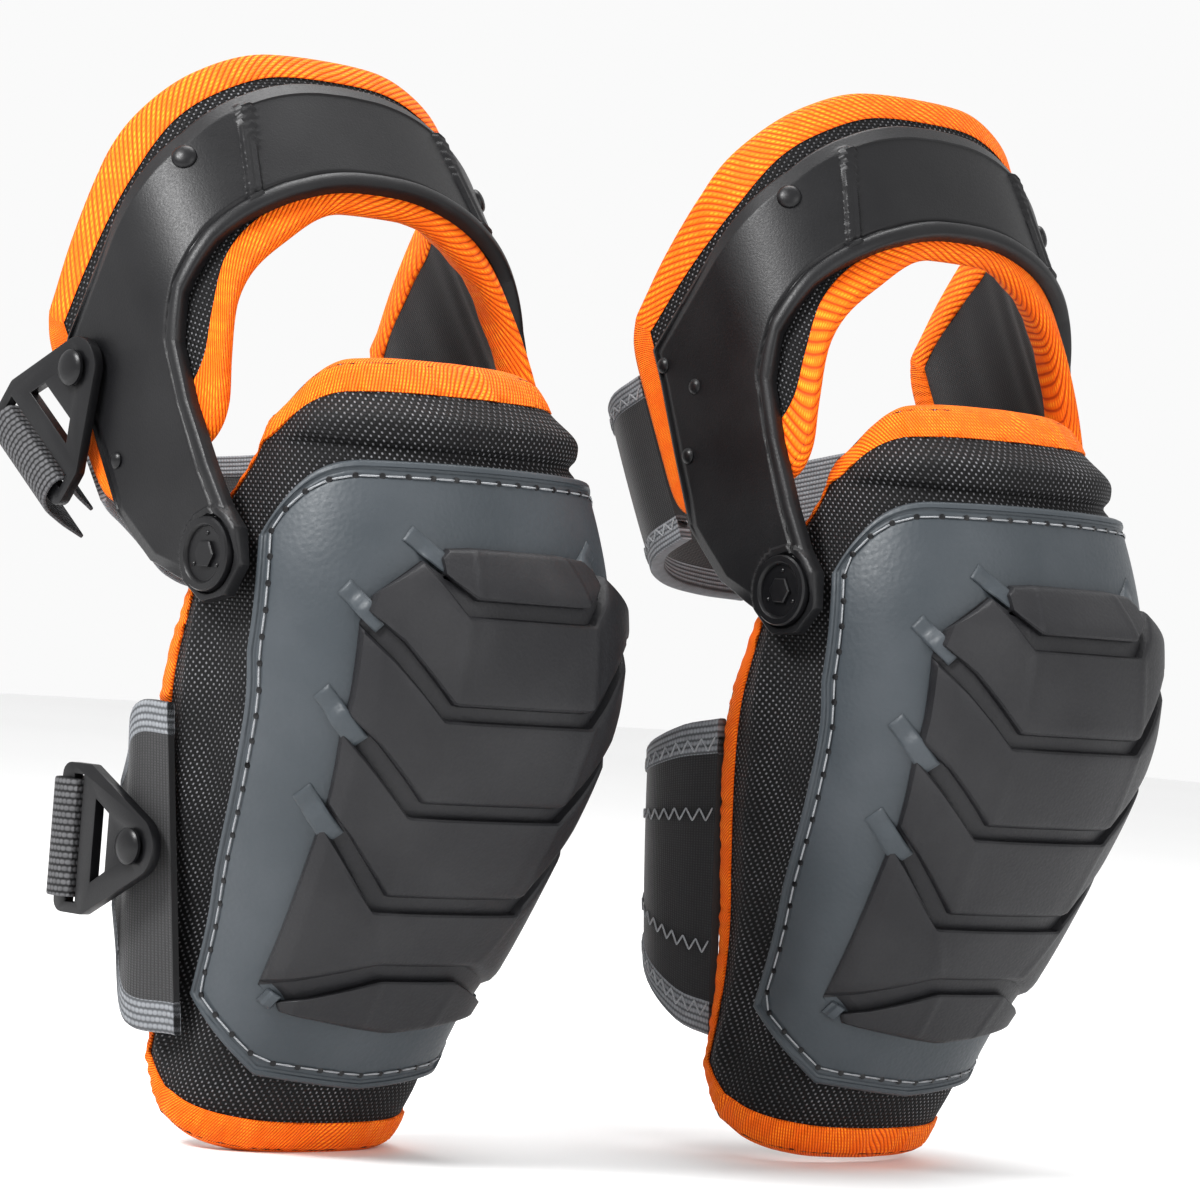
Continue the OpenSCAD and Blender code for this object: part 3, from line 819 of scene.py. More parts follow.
class Fitter:
    """Places a finished design on both pads, and hands it to the frame."""

    def __init__(self, wardrobe: Wardrobe) -> None:
        """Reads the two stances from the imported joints."""
        self.wardrobe = wardrobe
        joints = {j["name"]: Vector(j["pos_m"]) for j in frame["joints"] if "pos_m" in j}
        post_angle = math.atan2(*UPPER_POST[1:])
        self.stances = []
        for side in ("left", "right"):
            hinge = joints[f"{side}_knee_hinge"]
            arm = joints[f"{side}_upper_clip_swivel"] - hinge
            lean = math.atan2(arm.y, arm.z) - post_angle
            self.stances.append(Stance(side, hinge.copy(), lean))

    def fit(
        self,
        piece: bpy.types.Object,
        body: str,
        slot: Slot,
        stands_for: Sequence[str] = (),
        on_cuff: bool = False,
        material: Optional[bpy.types.Material] = None,
        fill: Optional[float] = None,
    ) -> None:
        """Copies a design to each pad, dresses it, attaches it to its body, and hides the CAD nodes it
        stands for.

        Args:
            piece: the design, in the left pad's upright frame.
            body: the body it rides on, without its side.
            slot: the material slot.
            stands_for: the CAD nodes it replaces, without their side.
            on_cuff: it is drawn in the thigh cuff's upright frame.
            material: a finish other than the slot's own.
            fill: how full it is, for a padded piece; not used.
        """
        base = piece.name
        for stance in self.stances:
            made = piece.copy()
            made.data = piece.data.copy()
            made.name = made.data.name = f"{stance.side}_{base}_look"
            bpy.context.scene.collection.objects.link(made)
            made.data.transform(stance.matrix(on_cuff))
            if stance.side == "right":
                made.data.flip_normals()
            self.wardrobe.dress(made, slot)
            if material is not None:
                made.data.materials[0] = material
            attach(made, f"{stance.side}_{body}")
            if stands_for:
                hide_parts(*[f"{stance.side}_{node}" for node in stands_for])
        bpy.data.objects.remove(piece)
        LOG.info("fitted %s", base)


PAD, CUFF = PadForm(), CuffForm()


def along(points: Sequence[Sequence[float]], at: Points) -> Points:
    """A smooth curve through points, at shares from 0 to 1 of its length."""
    knots = np.array(points, float)
    run = np.concatenate([[0], np.cumsum(np.linalg.norm(np.diff(knots, axis=0), axis=1))])
    run = run / run[-1]
    return np.stack([Taper(*zip(run, knots[:, axis]))(at) for axis in range(knots.shape[1])], axis=-1)


def placed(piece: bpy.types.Object, matrix: Matrix) -> bpy.types.Object:
    """Moves a piece's mesh and returns the piece."""
    piece.data.transform(matrix)
    return piece


def outwards(side: int, x: float, y: float, z: float) -> Matrix:
    """Takes +Z to -X or +X at a place in millimetres."""
    turn = Matrix.Rotation(math.radians(90 * side), 4, "Y")
    return Matrix.Translation(Vector((x, y, z)) * MM) @ turn


@dataclass
class StrapForm:
    """A band between an upper and a lower line, in millimetres."""

    top: Sequence[Sequence[float]]
    bottom: Sequence[Sequence[float]]
    thick: float
    length: float = 0.0
    tall: float = 0.0

    def __post_init__(self) -> None:
        """Measures the band's middle length and height."""
        a, b = np.array(self.top, float), np.array(self.bottom, float)
        middle = (a + b) / 2
        self.length = float(np.linalg.norm(np.diff(middle, axis=0), axis=1).sum())
        self.tall = float(np.linalg.norm(a - b, axis=1).mean())

    @classmethod
    def level(
        cls, plan: Sequence[Sequence[float]], middle: float, half: float, thick: float
    ) -> "StrapForm":
        """A level band along a plan line.

        Args:
            plan: (across, back) places along the band.
            middle: its middle's height.
            half: half its height.
            thick: its thickness.
        Returns:
            The band.
        """
        top, bottom = ([(*p, middle + sign * half) for p in plan] for sign in (1, -1))
        return cls(top, bottom, thick)

    def place(self, p: Points, q: Points, out: Any) -> Points:
        """Points at a share p of the length, q from 0 at the top to 1, and a lift off the middle."""
        a, b = along(self.top, p), along(self.bottom, p)
        run = along(self.top, np.clip(p + 0.004, 0, 1)) - along(self.top, np.clip(p - 0.004, 0, 1))
        side = np.stack([run[:, 1], -run[:, 0], 0 * p], axis=-1)
        side = side / np.linalg.norm(side, axis=1)[:, None]
        return a + (b - a) * q[:, None] + side * np.reshape(out, (-1, 1))

    def build(
        self, name: str, low: float = 0.0, high: float = 1.0, fat: float = 0.0, swell: float = 0.0
    ) -> bpy.types.Object:
        """The band as a piece with rounded edges, between two heights.

        Args:
            name: the piece's name.
            low: the first share of its height.
            high: the last share of its height.
            fat: what is added to its thickness.
            swell: how far its middle stands out, for a padded band.
        Returns:
            The new object.
        """
        columns = np.linspace(0, 1, max(24, int(self.length / 3)))
        edge = 0.8 / max(self.tall * (high - low), 1)
        inner = np.linspace(0, 1, max(5, int(self.tall * (high - low) / 4)))[1:-1]
        rows = np.unique(
            np.concatenate([[0, edge * 0.35, edge], inner, [1 - edge, 1 - edge * 0.35, 1]])
        )
        half = (self.thick + fat) / 2

        def skin(p: Points, q: Points, sign: float) -> Points:
            """The band's outer skin for sign 1, and its inner one for -1."""
            near = np.minimum(q, 1 - q) / edge
            lift = half * (0.45 + 0.55 * np.sqrt(1 - (1 - np.clip(near, 0, 1)) ** 2))
            plump = swell * np.clip(4 * q * (1 - q), 0, 1) ** 0.6
            return self.place(p, low + (high - low) * q, sign * lift + plump * (sign > 0))

        return Bench3D.sheet(
            name,
            columns,
            rows,
            lambda p, q: skin(p, q, 1.0),
            lambda p, q: skin(p, q, -1.0),
            lambda p, q: np.stack([p * self.length, (low + (high - low) * q) * self.tall], axis=-1),
        )

    def zigzag(self, height: float, wide: float = 1.6, pitch: float = 2.2, out: float = 0.0) -> list:
        """The threads of a zigzag seam along the band at a share of its height."""
        count = int(self.length / pitch)
        p = np.linspace(0.01, 0.99, count)
        swing = (np.arange(count) % 2 * 2 - 1) * wide / self.tall
        track = self.place(p, height + swing, self.thick / 2 + 0.3 + out)
        return list(zip(track[:-1], track[1:]))


# ---- the pads' pieces ------------------------------------------------------------


# (inset from the edge in mm, share of the padding's depth, lift in mm) round the tape's section
TAPE_SECTION = (
    (9, 0, 0.1), (8.6, 0, 0.9), (6, 0, 1.3), (3, 0, 1.2), (1, 0, 0.8), (-0.5, 0.1, 0.2),
    (-1.3, 0.3, 0), (-1.6, 0.5, 0), (-1.3, 0.7, 0), (-0.5, 0.9, -0.2), (1, 1, -0.8),
    (3, 1, -1.2), (6, 1, -1.3), (8.6, 1, -0.9), (9, 1, -0.1), (6, 0.94, 0), (3, 0.85, 0),
    (2, 0.5, 0), (3, 0.15, 0), (6, 0.06, 0),
)


def laid_out(spot: Callable[[Points, Points], Sequence[Points]]) -> Surface:
    """The cloth coordinates of a surface, from what gives them as its first two values."""
    return lambda p, q: np.stack(spot(p, q)[:2], axis=-1)


def patch_border(turn: Points, inset_p: Any, inset_q: Any) -> tuple[Points, Points]:
    """(p, q) at a turn from 0 to 1 round a patch's border, pulled in by shares."""
    quarter = (turn * 4 - 0.5) % 4
    side, f = np.floor(quarter).astype(int), (quarter % 1) * 2 - 1
    sides = [side == 0, side == 1, side == 2, side == 3]
    p = np.select(sides, [f, 1 + 0 * f, -f, -1 + 0 * f])
    q = np.select(sides, [-1 + 0 * f, f, 1 + 0 * f, -f])
    return p * (1 - inset_p), q * (1 - inset_q)


@dataclass
class RolledTape:
    """Binding tape rolled over the edge of a padded patch, in millimetres."""

    name: str
    layer: Callable[[Points, Points, Any, Any], Points]
    pucker: Callable[[Points], Points]
    reach: tuple[float, float]
    girth: float
    deep: float
    steps: int
    both_faces: bool = True
    proud: float = 1.3
    pucker_share: float = 0.6

    def build(self) -> bpy.types.Object:
        """Sweeps the section round the patch's border.

        Returns:
            The closed tape, with cloth coordinates along and across it.
        """
        section = np.array(TAPE_SECTION + TAPE_SECTION[:1], float)
        steps = np.diff(section[:, :2] * [1, self.deep], axis=0)
        across = np.concatenate([[0], np.cumsum(np.hypot(*steps.T))])

        def row(share: Points) -> Points:
            """The section's row at a share round it."""
            return np.rint(share * (len(section) - 1)).astype(int)

        def skin(turn: Points, share: Points) -> Points:
            """The tape's points."""
            inset, depth, lift = section[row(share)].T
            p, q = patch_border(turn, inset / self.reach[0], inset / self.reach[1])
            faced = np.abs(lift) > 0.5 if self.both_faces else lift < -0.5
            pucker = self.pucker(turn) * faced * self.pucker_share
            return self.layer(p, q, depth, np.clip(lift, -1.3, self.proud) + pucker)

        def cloth(turn: Points, share: Points) -> Points:
            """Cloth coordinates along and across the tape."""
            return np.stack([turn * self.girth, across[row(share)]], axis=-1)

        turns, rows = np.linspace(0, 1, self.steps + 1), np.linspace(0, 1, len(section))
        return Bench3D.sheet(self.name, turns, rows, skin, None, cloth, closed=True, sharp=70)


@dataclass
class LowerPad:
    """The long padded shell over the knee and shin, with its shield and cap, in millimetres."""

    fitter: Fitter
    skin: float = 3.0
    edge_sink: float = 2.0
    edge_depth: float = 8.0
    fullness_depth: float = 9.0
    roll_height: float = 46.0
    roll_rise: float = 4.6
    crease_height: float = 35.5
    shield_thick: float = 2.5
    rim_wide: float = 2.3
    seam_inset: float = 4.8
    half_wide: float = 84.0
    half_tall: float = 96.0
    stitch_pitch: float = 8.0
    thread_radius: float = 0.34
    eyelet_radius: float = 1.15
    shield_half: tuple = ((-163, 70), (-135, 73.5), (-96, 83), (-61, 88), (-28, 91), (11, 86), (33, 82))
    shield_low: tuple = ((0, -163), (0.16, -162), (0.54, -159), (1, -136))
    channel: float = 3.0
    cap_base: float = 0.3
    cap_tall: Taper = Taper((-146, 4.2), (-125, 6), (-90, 7.3), (-45, 9.2), (-8, 10.6), (8, 4.2))
    # each line across the cap: (share of its half width, length round the U, height)
    cap_lines: tuple = (
        ((0, 0, 8), (0.45, 17, 8), (0.8, 26, 7.2), (1, 29, 4)),
        ((0, 0, -8), (0.45, 20, -8), (0.8, 26.5, -3), (1, 29, -0.5)),
        ((0, 0, -12.5), (0.45, 22.5, -12.5), (0.8, 34.5, 3), (1, 50, -8.4)),
        ((0, 0, -40), (0.45, 25, -40), (0.8, 41, -22), (1, 52, -12.5)),
        ((0, 0, -44), (0.45, 27, -44), (0.8, 43, -27), (1, 54, -17)),
        ((0, 0, -70), (0.45, 25.5, -70), (0.8, 44, -52.5), (1, 55.5, -44)),
        ((0, 0, -74), (0.45, 28, -74), (0.8, 45.5, -57.5), (1, 55.8, -48.5)),
        ((0, 0, -99.5), (0.45, 24.5, -99.5), (0.8, 43.5, -80), (1, 52.6, -71.5)),
        ((0, 0, -104), (0.45, 27, -104), (0.8, 44.5, -84.5), (1, 52.3, -76.5)),
        ((0, 0, -121.5), (0.45, 17, -121.5), (0.8, 39, -128), (1, 49.7, -130)),
        ((0, 0, -126), (0.45, 14, -126), (0.8, 33, -132.8), (1, 42, -135)),
        ((0, 0, -144), (0.45, 12.5, -142.6), (0.8, 33, -139.4), (1, 39.6, -138)),
    )
    # each tab: its outer end, its inner end, and half its width
    tab_ends: tuple = (
        ((38, 11), (25.4, 1), 2.9), ((58.5, -6.4), (47, -17.4), 3.0), ((64, -38), (49, -53), 3.0),
        ((61.6, -68.5), (46, -82.6), 3.0), ((47, -133), (41.5, -135.5), 2.3),
    )

    @staticmethod
    def fullness(p: Points, q: Points) -> Points:
        """How full the padding is, from 0 at the edge to 1."""
        v = (q + 1) / 2
        return ease(np.minimum((1 - np.abs(p)) / 0.14, np.minimum(v, 1 - v) / 0.08))

    def layer(self, p: Points, q: Points, k: Any, lift: Any = 0.0) -> Points:
        """Points at a share k of the padding's depth, lifted in millimetres."""
        full = self.fullness(p, q)
        share, z = PAD.patch(p, q)
        depth = k * (self.edge_depth + self.fullness_depth * full)
        return PAD.at(share, z, -self.skin - self.edge_sink * (1 - full) - depth + lift)

    def puff(self, p: Points, q: Points) -> Points:
        """The roll above the shield, its crease, and the slight ease of the cloth."""
        share, z = PAD.patch(p, q)
        middle = ease((0.74 - np.abs(share)) / 0.2)
        roll = self.roll_rise * np.exp(-(((z - self.roll_height) / 9) ** 2)) * middle
        crease = -2.0 * np.exp(-(((z - self.crease_height) / 2) ** 2)) * middle
        beside = 2.2 * np.exp(-(((np.abs(share) - 0.86) / 0.07) ** 2)) * ease((40 - z) / 40)
        waves = 0.35 * np.sin(z / 7.1 + 3 * share) * np.sin(share * 19 + 1)
        return roll + crease + (beside + waves) * ease((1 - np.abs(q)) / 0.2)

    @staticmethod
    def unrolled(p: Points, q: Points) -> Points:
        """Cloth coordinates of the patch, in millimetres."""
        share, z = PAD.patch(p, q)
        return np.stack([PAD.length(share, z), z], axis=-1)

    def cloth(self) -> None:
        """The cover with its padding, and the lining."""
        cover = Bench3D.sheet(
            "pad_cover",
            both_ways(marks((0, 0), (0.62, 50), (1, 60))),
            marks((-1, 0), (-0.82, 20), (0.55, 90), (1, 60)),
            lambda p, q: self.layer(p, q, 0.0, self.puff(p, q) * self.fullness(p, q) ** 2),
            lambda p, q: self.layer(p, q, 0.86),
            self.unrolled,
        )
        stands_for = ("pad_cover", "pad_foam", "gel_insert")
        self.fitter.fit(cover, "pad", Slot.NYLON, stands_for, fill=0.8)
        liner = Bench3D.sheet(
            "pad_liner",
            both_ways(np.linspace(0, 1, 50)),
            np.linspace(-1, 1, 110),
            lambda p, q: self.layer(p, q, 0.88),
            lambda p, q: self.layer(p, q, 0.99, -0.4 * np.sin(p * 22) ** 2 * self.fullness(p, q)),
            self.unrolled,
        )
        self.fitter.fit(liner, "pad", Slot.LINER, ("pad_liner",), fill=0.7)

    @staticmethod
    def pucker(turn: Points) -> Points:
        """The small puckers along the tape."""
        slow = 0.5 * np.sin(turn * 60) * np.sin(turn * 913)
        return 0.3 * np.sin(turn * 271) + 0.25 * np.sin(turn * 617 + 1) + slow

    def binding(self) -> None:
        """The tape rolled round the edge."""
        tape = RolledTape("pad_binding", self.layer, self.pucker, (170, 120), 1180, 12, 720)
        self.fitter.fit(tape.build(), "pad", Slot.TAPE, ("pad_binding",), fill=0.4)

    # -- shield --

    def shield_spot(self, s: Points, r: Points) -> tuple[Points, Points]:
        """(length round the U, height) of the shield, s from -1 to 1 and r from 0 to 1."""
        far = np.abs(s)
        low = linear(self.shield_low, far)
        high = 33 - 3 * far**2 - 24 * np.clip((far - 0.55) / 0.45, 0, 1) ** 2.6
        z = low + (high - low) * r
        return s * linear(self.shield_half, z), z

    def shield_edge(self, s: Points, r: Points) -> Points:
        """Distance to the shield's edge, in millimetres."""
        ends = [self.shield_spot(s, end + 0 * r)[1] for end in (0, 1)]
        side = (1 - np.abs(s)) * self.half_wide
        return np.minimum(side, np.minimum(r, 1 - r) * np.abs(ends[1] - ends[0]))

    def shield_point(self, s: Points, r: Points, lift: Any) -> Points:
        """A point over the shield's place on the pad."""
        return PAD.place(*self.shield_spot(s, r), lift)

    def shield_face(self, s: Points, r: Points) -> Points:
        """The shield's front, with its rim and the seam's groove."""
        d = self.shield_edge(s, r)
        rim = 0.75 * ease((self.rim_wide - d) / 0.5) - 1.0 * np.clip(1 - d / 0.7, 0, 1) ** 2
        line = -0.35 * np.exp(-(((d - 3.0) / 0.35) ** 2))
        groove = -0.35 * np.exp(-(((d - 4.6) / 0.8) ** 2))
        return self.shield_point(s, r, 0.1 + rim + line + groove)

    def shield(self) -> None:
        """The grained sheet with its raised rim, eyelets and seam."""
        sheet = Bench3D.sheet(
            "shield",
            both_ways(marks((0, 0), (0.9, 40), (1, 26))),
            marks((0, 0), (0.045, 24), (0.955, 90), (1, 24)),
            self.shield_face,
            lambda s, r: self.shield_point(s, r, -self.shield_thick),
            laid_out(self.shield_spot),
        )
        self.fitter.fit(sheet, "pad", Slot.SHIELD, ("shield",))
        s, q = patch_border(np.linspace(0, 1, 1201), self.seam_inset / self.half_wide, 0.0)
        r = (q * (1 - self.seam_inset / self.half_tall) + 1) / 2
        track, over = self.shield_point(s, r, 0.1), self.shield_point(s, r, 0.55)
        run = np.concatenate([[0], np.cumsum(np.linalg.norm(np.diff(track, axis=0), axis=1))])
        stops = np.linspace(0, run[-1], int(run[-1] / self.stitch_pitch) + 1)
        spots, lifted = (
            np.stack([np.interp(stops, run, line[:, i]) for i in range(3)], axis=-1)
            for line in (track, over)
        )
        pairs = zip(lifted[:-1], lifted[1:])
        threads = [(a + (b - a) * 0.12, b + (a - b) * 0.12) for a, b in pairs]
        seam = Bench3D.beads("shield_thread", threads, self.thread_radius)
        self.fitter.fit(seam, "pad", Slot.SHIELD, material=self.fitter.wardrobe.thread)
        rings = [(a - (b - a) * 0.6, a + (b - a) * 0.55) for a, b in zip(spots, lifted)]
        eyes = Bench3D.beads("shield_eyelets", rings, self.eyelet_radius)
        self.fitter.fit(eyes, "pad", Slot.PLASTIC)

    # -- cap --

    def crest(self, arc: Points, z: Points) -> Points:
        """Height of the cap's crest over the shield, in millimetres."""
        return self.cap_tall(z) * (1 - 0.42 * np.clip(np.abs(arc) / 55, 0, 1) ** 2.2)

    def cap_rows(self) -> list[tuple[int, float, float]]:
        """The rows of the cap's grid, from the top down.

        Returns:
            (line, share of the way to the next line, level), level 1 at the crest and 0 in a channel.
        """
        rows = []
        for k in range(0, len(self.cap_lines), 2):
            tall = abs(self.cap_lines[k][0][2] - self.cap_lines[k + 1][0][2])
            wall, bevel = 0.5 / tall, 1.5 / tall
            foot = [(0.0, 0.0), (wall, 0.7), (wall + bevel * 0.5, 0.93), (wall + bevel, 1.0)]
            steps = max(3, int(tall / 3))
            inner = np.linspace(wall + bevel, 1 - wall - bevel, steps + 1)[1:-1]
            rows += [(k, share, level) for share, level in foot]
            rows += [(k, float(share), 1.0) for share in inner]
            rows += [(k, 1 - share, level) for share, level in reversed(foot)]
        return rows

    def cap_spot(self, s: Points, row: Points) -> tuple[Points, Points, Points]:
        """(length round the U, height, level) of points of the cap's grid."""
        arc, z, level = np.zeros_like(s), np.zeros_like(s), np.zeros_like(s)
        for n, (k, share, height) in enumerate(self.cap_rows()):
            here = np.rint(row).astype(int) == n
            far = np.abs(s[here])
            upper, lower = (
                [linear([(knot[0], knot[axis]) for knot in self.cap_lines[line]], far) for axis in (1, 2)]
                for line in (k, k + 1)
            )
            arc[here] = np.sign(s[here]) * (upper[0] * (1 - share) + lower[0] * share)
            z[here] = upper[1] * (1 - share) + lower[1] * share
            level[here] = height
        return arc, z, level

    def cap_face(self, s: Points, row: Points) -> Points:
        """The cap's front: crests, flat channels, side bevels and creases."""
        arc, z, level = self.cap_spot(s, row)
        crest = self.crest(arc, z)
        floor = np.maximum(crest - self.channel, 0.9)
        lift = floor + (crest - floor) * level
        strip = np.clip((np.abs(s) - 0.86) / 0.14, 0, 1) * 2.0 * (z < -16)
        fold = 0.5 * np.clip(1 - np.abs(np.abs(s) - 0.45) / 0.06, 0, 1) * level
        wall = np.clip((1 - np.abs(s)) / 0.035, 0, 1) ** 0.45
        last = (np.rint(row) == 0) | (np.rint(row) == len(self.cap_rows()) - 1)
        lift = self.cap_base + (lift - strip + fold - self.cap_base) * wall
        return PAD.place(arc, z, np.where(last, self.cap_base, lift))

    def cap(self) -> None:
        """The rubber cap: six segments with flat channels between."""
        edge = [0.965, 0.978, 0.988, 0.996, 1.0]
        cap = Bench3D.sheet(
            "armour_cap",
            both_ways(np.concatenate([marks((0, 0), (0.8, 28), (0.955, 8)), edge])),
            np.arange(len(self.cap_rows()), dtype=float),
            self.cap_face,
            lambda s, row: PAD.place(*self.cap_spot(s, row)[:2], 0.12),
            laid_out(self.cap_spot),
            sharp=24,
        )
        self.fitter.fit(cap, "pad", Slot.CAP, ("armour_cap",))

    def tab(self, side: int, outer: tuple, inner: tuple, half: float) -> bpy.types.Object:
        """One slanted tab, on the shield at its outer end and in a channel at its inner one.

        Args:
            side: -1 or 1.
            outer: (length round the U, height) of its outer end.
            inner: the same of its inner end.
            half: half its width.
        Returns:
            The new object.
        """
        a, b = np.array(outer, float), np.array(inner, float)
        run = (b - a) / np.linalg.norm(b - a)
        cross = np.array([run[1], -run[0]])

        def spot(p: Points, q: Points) -> Points:
            """(length round the U, height) of the tab."""
            return a + np.outer(p, b - a) + np.outer(q * half, cross)

        def top(p: Points, q: Points) -> Points:
            """The tab's top."""
            at = spot(p, q)
            floor = np.maximum(self.crest(at[:, 0], at[:, 1]) - self.channel, 1.0)
            inside = ease((p - 0.25) / 0.3)
            base = 0.2 + (floor + 0.9) * inside + 0.9 * (1 - inside)
            sides = np.clip((1 - np.abs(q)) / 0.3, 0, 1) ** 0.5
            ends = np.clip(np.minimum(p, 1 - p) / 0.06, 0, 1) ** 0.5
            return PAD.place(side * at[:, 0], at[:, 1], base - 0.7 * (1 - sides * ends))

        def foot(p: Points, q: Points) -> Points:
            """The tab's underside."""
            at = spot(p, q)
            return PAD.place(side * at[:, 0], at[:, 1], 0.15 + 0 * p)

        columns = marks((0, 0), (0.06, 2), (0.94, 12), (1, 2))
        rows = np.array([-1, -0.85, -0.7, 0, 0.7, 0.85, 1])
        return Bench3D.sheet(f"tab_{side}_{outer[0]}", columns, rows, top, foot, sharp=30)

    def tabs(self) -> None:
        """The grey tabs that bridge the shield and the ends of the channels."""
        made = [self.tab(side, *ends) for side in (-1, 1) for ends in self.tab_ends]
        self.fitter.fit(Bench3D.join("cap_tabs", made), "pad", Slot.SHIELD)

    def build(self) -> None:
        """Builds every piece of the lower pad."""
        self.cloth()
        self.binding()
        self.shield()
        self.cap()
        self.tabs()


@dataclass
class Cuff:
    """The padded thigh cuff and its moulded yoke, in the cuff's upright frame, in millimetres."""

    fitter: Fitter
    skin: float = 3.9
    edge_depth: float = 6.0
    fullness_depth: float = 3.0
    yoke_wall: float = 3.45
    rib_half: float = 2.7
    rib_rise: float = 1.5
    chamfer: float = 5.6
    boss_ring: float = 13.2
    dome_at: tuple = (61.2, 125.3)
    bar_from: tuple = (41, 140)
    bar_to: tuple = (49.5, 100)
    high: Taper = Taper(
        (0, 162), (0.11, 162), (0.31, 157), (0.48, 150), (0.69, 140), (0.84, 129), (0.95, 119),
        (1, 115),
    )
    low: Taper = Taper(
        (0, 104), (0.06, 104), (0.23, 94), (0.42, 77), (0.51, 59), (0.58, 45), (0.69, 38),
        (0.9, 38), (1, 42),
    )
    # the yoke's two edges: (share of the way from the front to the boss, forward, height)
    outer: tuple = (
        (0, 54, 150.5), (0.07, 49, 145.5), (0.16, 37, 135.5), (0.28, 12, 122), (0.42, -30, 101),
        (0.47, -30.5, 89), (0.58, -33, 64), (0.7, -35, 38), (0.8, -28, 16), (0.87, -15, 0),
        (0.94, -10.6, -10.6), (1, 0, -15),
    )
    inner: tuple = (
        (0, 54, 108), (0.08, 51.5, 105), (0.14, 47, 101), (0.2, 36, 93), (0.28, 24, 81),
        (0.4, 17, 67), (0.52, 14, 47), (0.7, 13, 24), (0.8, 13.2, 9), (0.87, 15, 0),
        (0.94, 10.6, -10.6), (1, 0, -15),
    )
    dome: tuple = ((4, -0.5), (4, 0.2), (3.6, 0.8), (2.8, 1.3), (1.8, 1.6), (0.7, 1.75), (0.1, 1.8))
    small_rivet: tuple = ((2.6, -0.5), (2.6, 0.3), (2.1, 0.9), (1.2, 1.3), (0.1, 1.4))
    small_rivets_at: tuple = ((-26, 93, 1), (-15, 80, 1), (-26, 60, 1), (-26, 52, -1))

    def spot(self, p: Points, q: Points) -> tuple[Points, Points]:
        """(length round the U, height) of a point of the patch."""
        pull = 1 - 0.04 * (p * q) ** 8
        p, q = p * pull, q * pull
        low, high = self.low(np.abs(p)), self.high(np.abs(p))
        return CUFF.share_length(p), low + (high - low) * (q + 1) / 2

    def layer(self, p: Points, q: Points, k: Any, lift: Any = 0.0) -> Points:
        """Points at a share k of the padding's depth, lifted in millimetres."""
        v = (q + 1) / 2
        full = ease(np.minimum((1 - np.abs(p)) / 0.12, np.minimum(v, 1 - v) / 0.14))
        depth = k * (self.edge_depth + self.fullness_depth * full)
        return CUFF.place(*self.spot(p, q), -self.skin - depth + lift)

    @staticmethod
    def pucker(turn: Points) -> Points:
        """The small puckers along the tape."""
        return 0.3 * np.sin(turn * 240) + 0.3 * np.sin(turn * 517 + 2)

    def cloth(self) -> None:
        """The cover, the lining and the rolled tape."""
        p, q = both_ways(np.linspace(0, 1, 90)), np.linspace(-1, 1, 60)
        flat = laid_out(self.spot)
        cover = Bench3D.sheet(
            "cuff_cover", p, q,
            lambda a, b: self.layer(a, b, 0.02), lambda a, b: self.layer(a, b, 0.7), flat,
        )
        self.fitter.fit(cover, "cuff", Slot.NYLON, ("cuff_cover",), True, fill=0.7)
        liner = Bench3D.sheet(
            "cuff_liner", p, q, lambda a, b: self.layer(a, b, 0.72),
            lambda a, b: self.layer(a, b, 0.99, -0.5 * np.sin(a * 31) ** 2 * (1 - b * b)), flat,
        )
        self.fitter.fit(liner, "cuff", Slot.NEOPRENE, ("cuff_liner",), True, fill=0.7)
        tape = RolledTape(
            "cuff_binding", self.layer, self.pucker, (150, 30), 760, 8, 600, both_faces=False, proud=0.35
        )
        self.fitter.fit(tape.build(), "cuff", Slot.TAPE, ("cuff_binding",), True, fill=0.4)

    def ribbon(self, u: Points, v: Points) -> tuple[Points, Points, Points]:
        """(length round the U, height, width) of a point of the yoke.

        Args:
            u: from -1 to 1, boss to boss.
            v: from 0 at the inner edge to 1 at the outer one.
        Returns:
            Three arrays in millimetres.
        """
        far = np.abs(u)
        edges = []
        for table in (self.inner, self.outer):
            f, t = (linear([(knot[0], knot[axis]) for knot in table], far) for axis in (1, 2))
            curved = np.interp(-f, -CUFF.fs, CUFF.arc)
            edges.append((np.where(f < CUFF.centre, CUFF.curved + CUFF.centre - f, curved), t))
        (c0, t0), (c1, t1) = edges
        side = np.where(u < 0, -1.0, 1.0)
        return side * (c0 + (c1 - c0) * v), t0 + (t1 - t0) * v, np.hypot(c1 - c0, t1 - t0)

    def bar(self, c: Points, t: Points, near: Points) -> Points:
        """The slanted bars that end the yoke's front panel."""
        (c0, t0), (c1, t1) = self.bar_from, self.bar_to
        size = math.hypot(c1 - c0, t1 - t0)
        off = np.abs((c - c0) * (t1 - t0) - (t - t0) * (c1 - c0)) / size
        share = ((c - c0) * (c1 - c0) + (t - t0) * (t1 - t0)) / size**2
        return 1.3 * np.clip((2.7 - off) / 0.6, 0, 1) * (share > 0) * np.clip(near - 4, 0, 1)

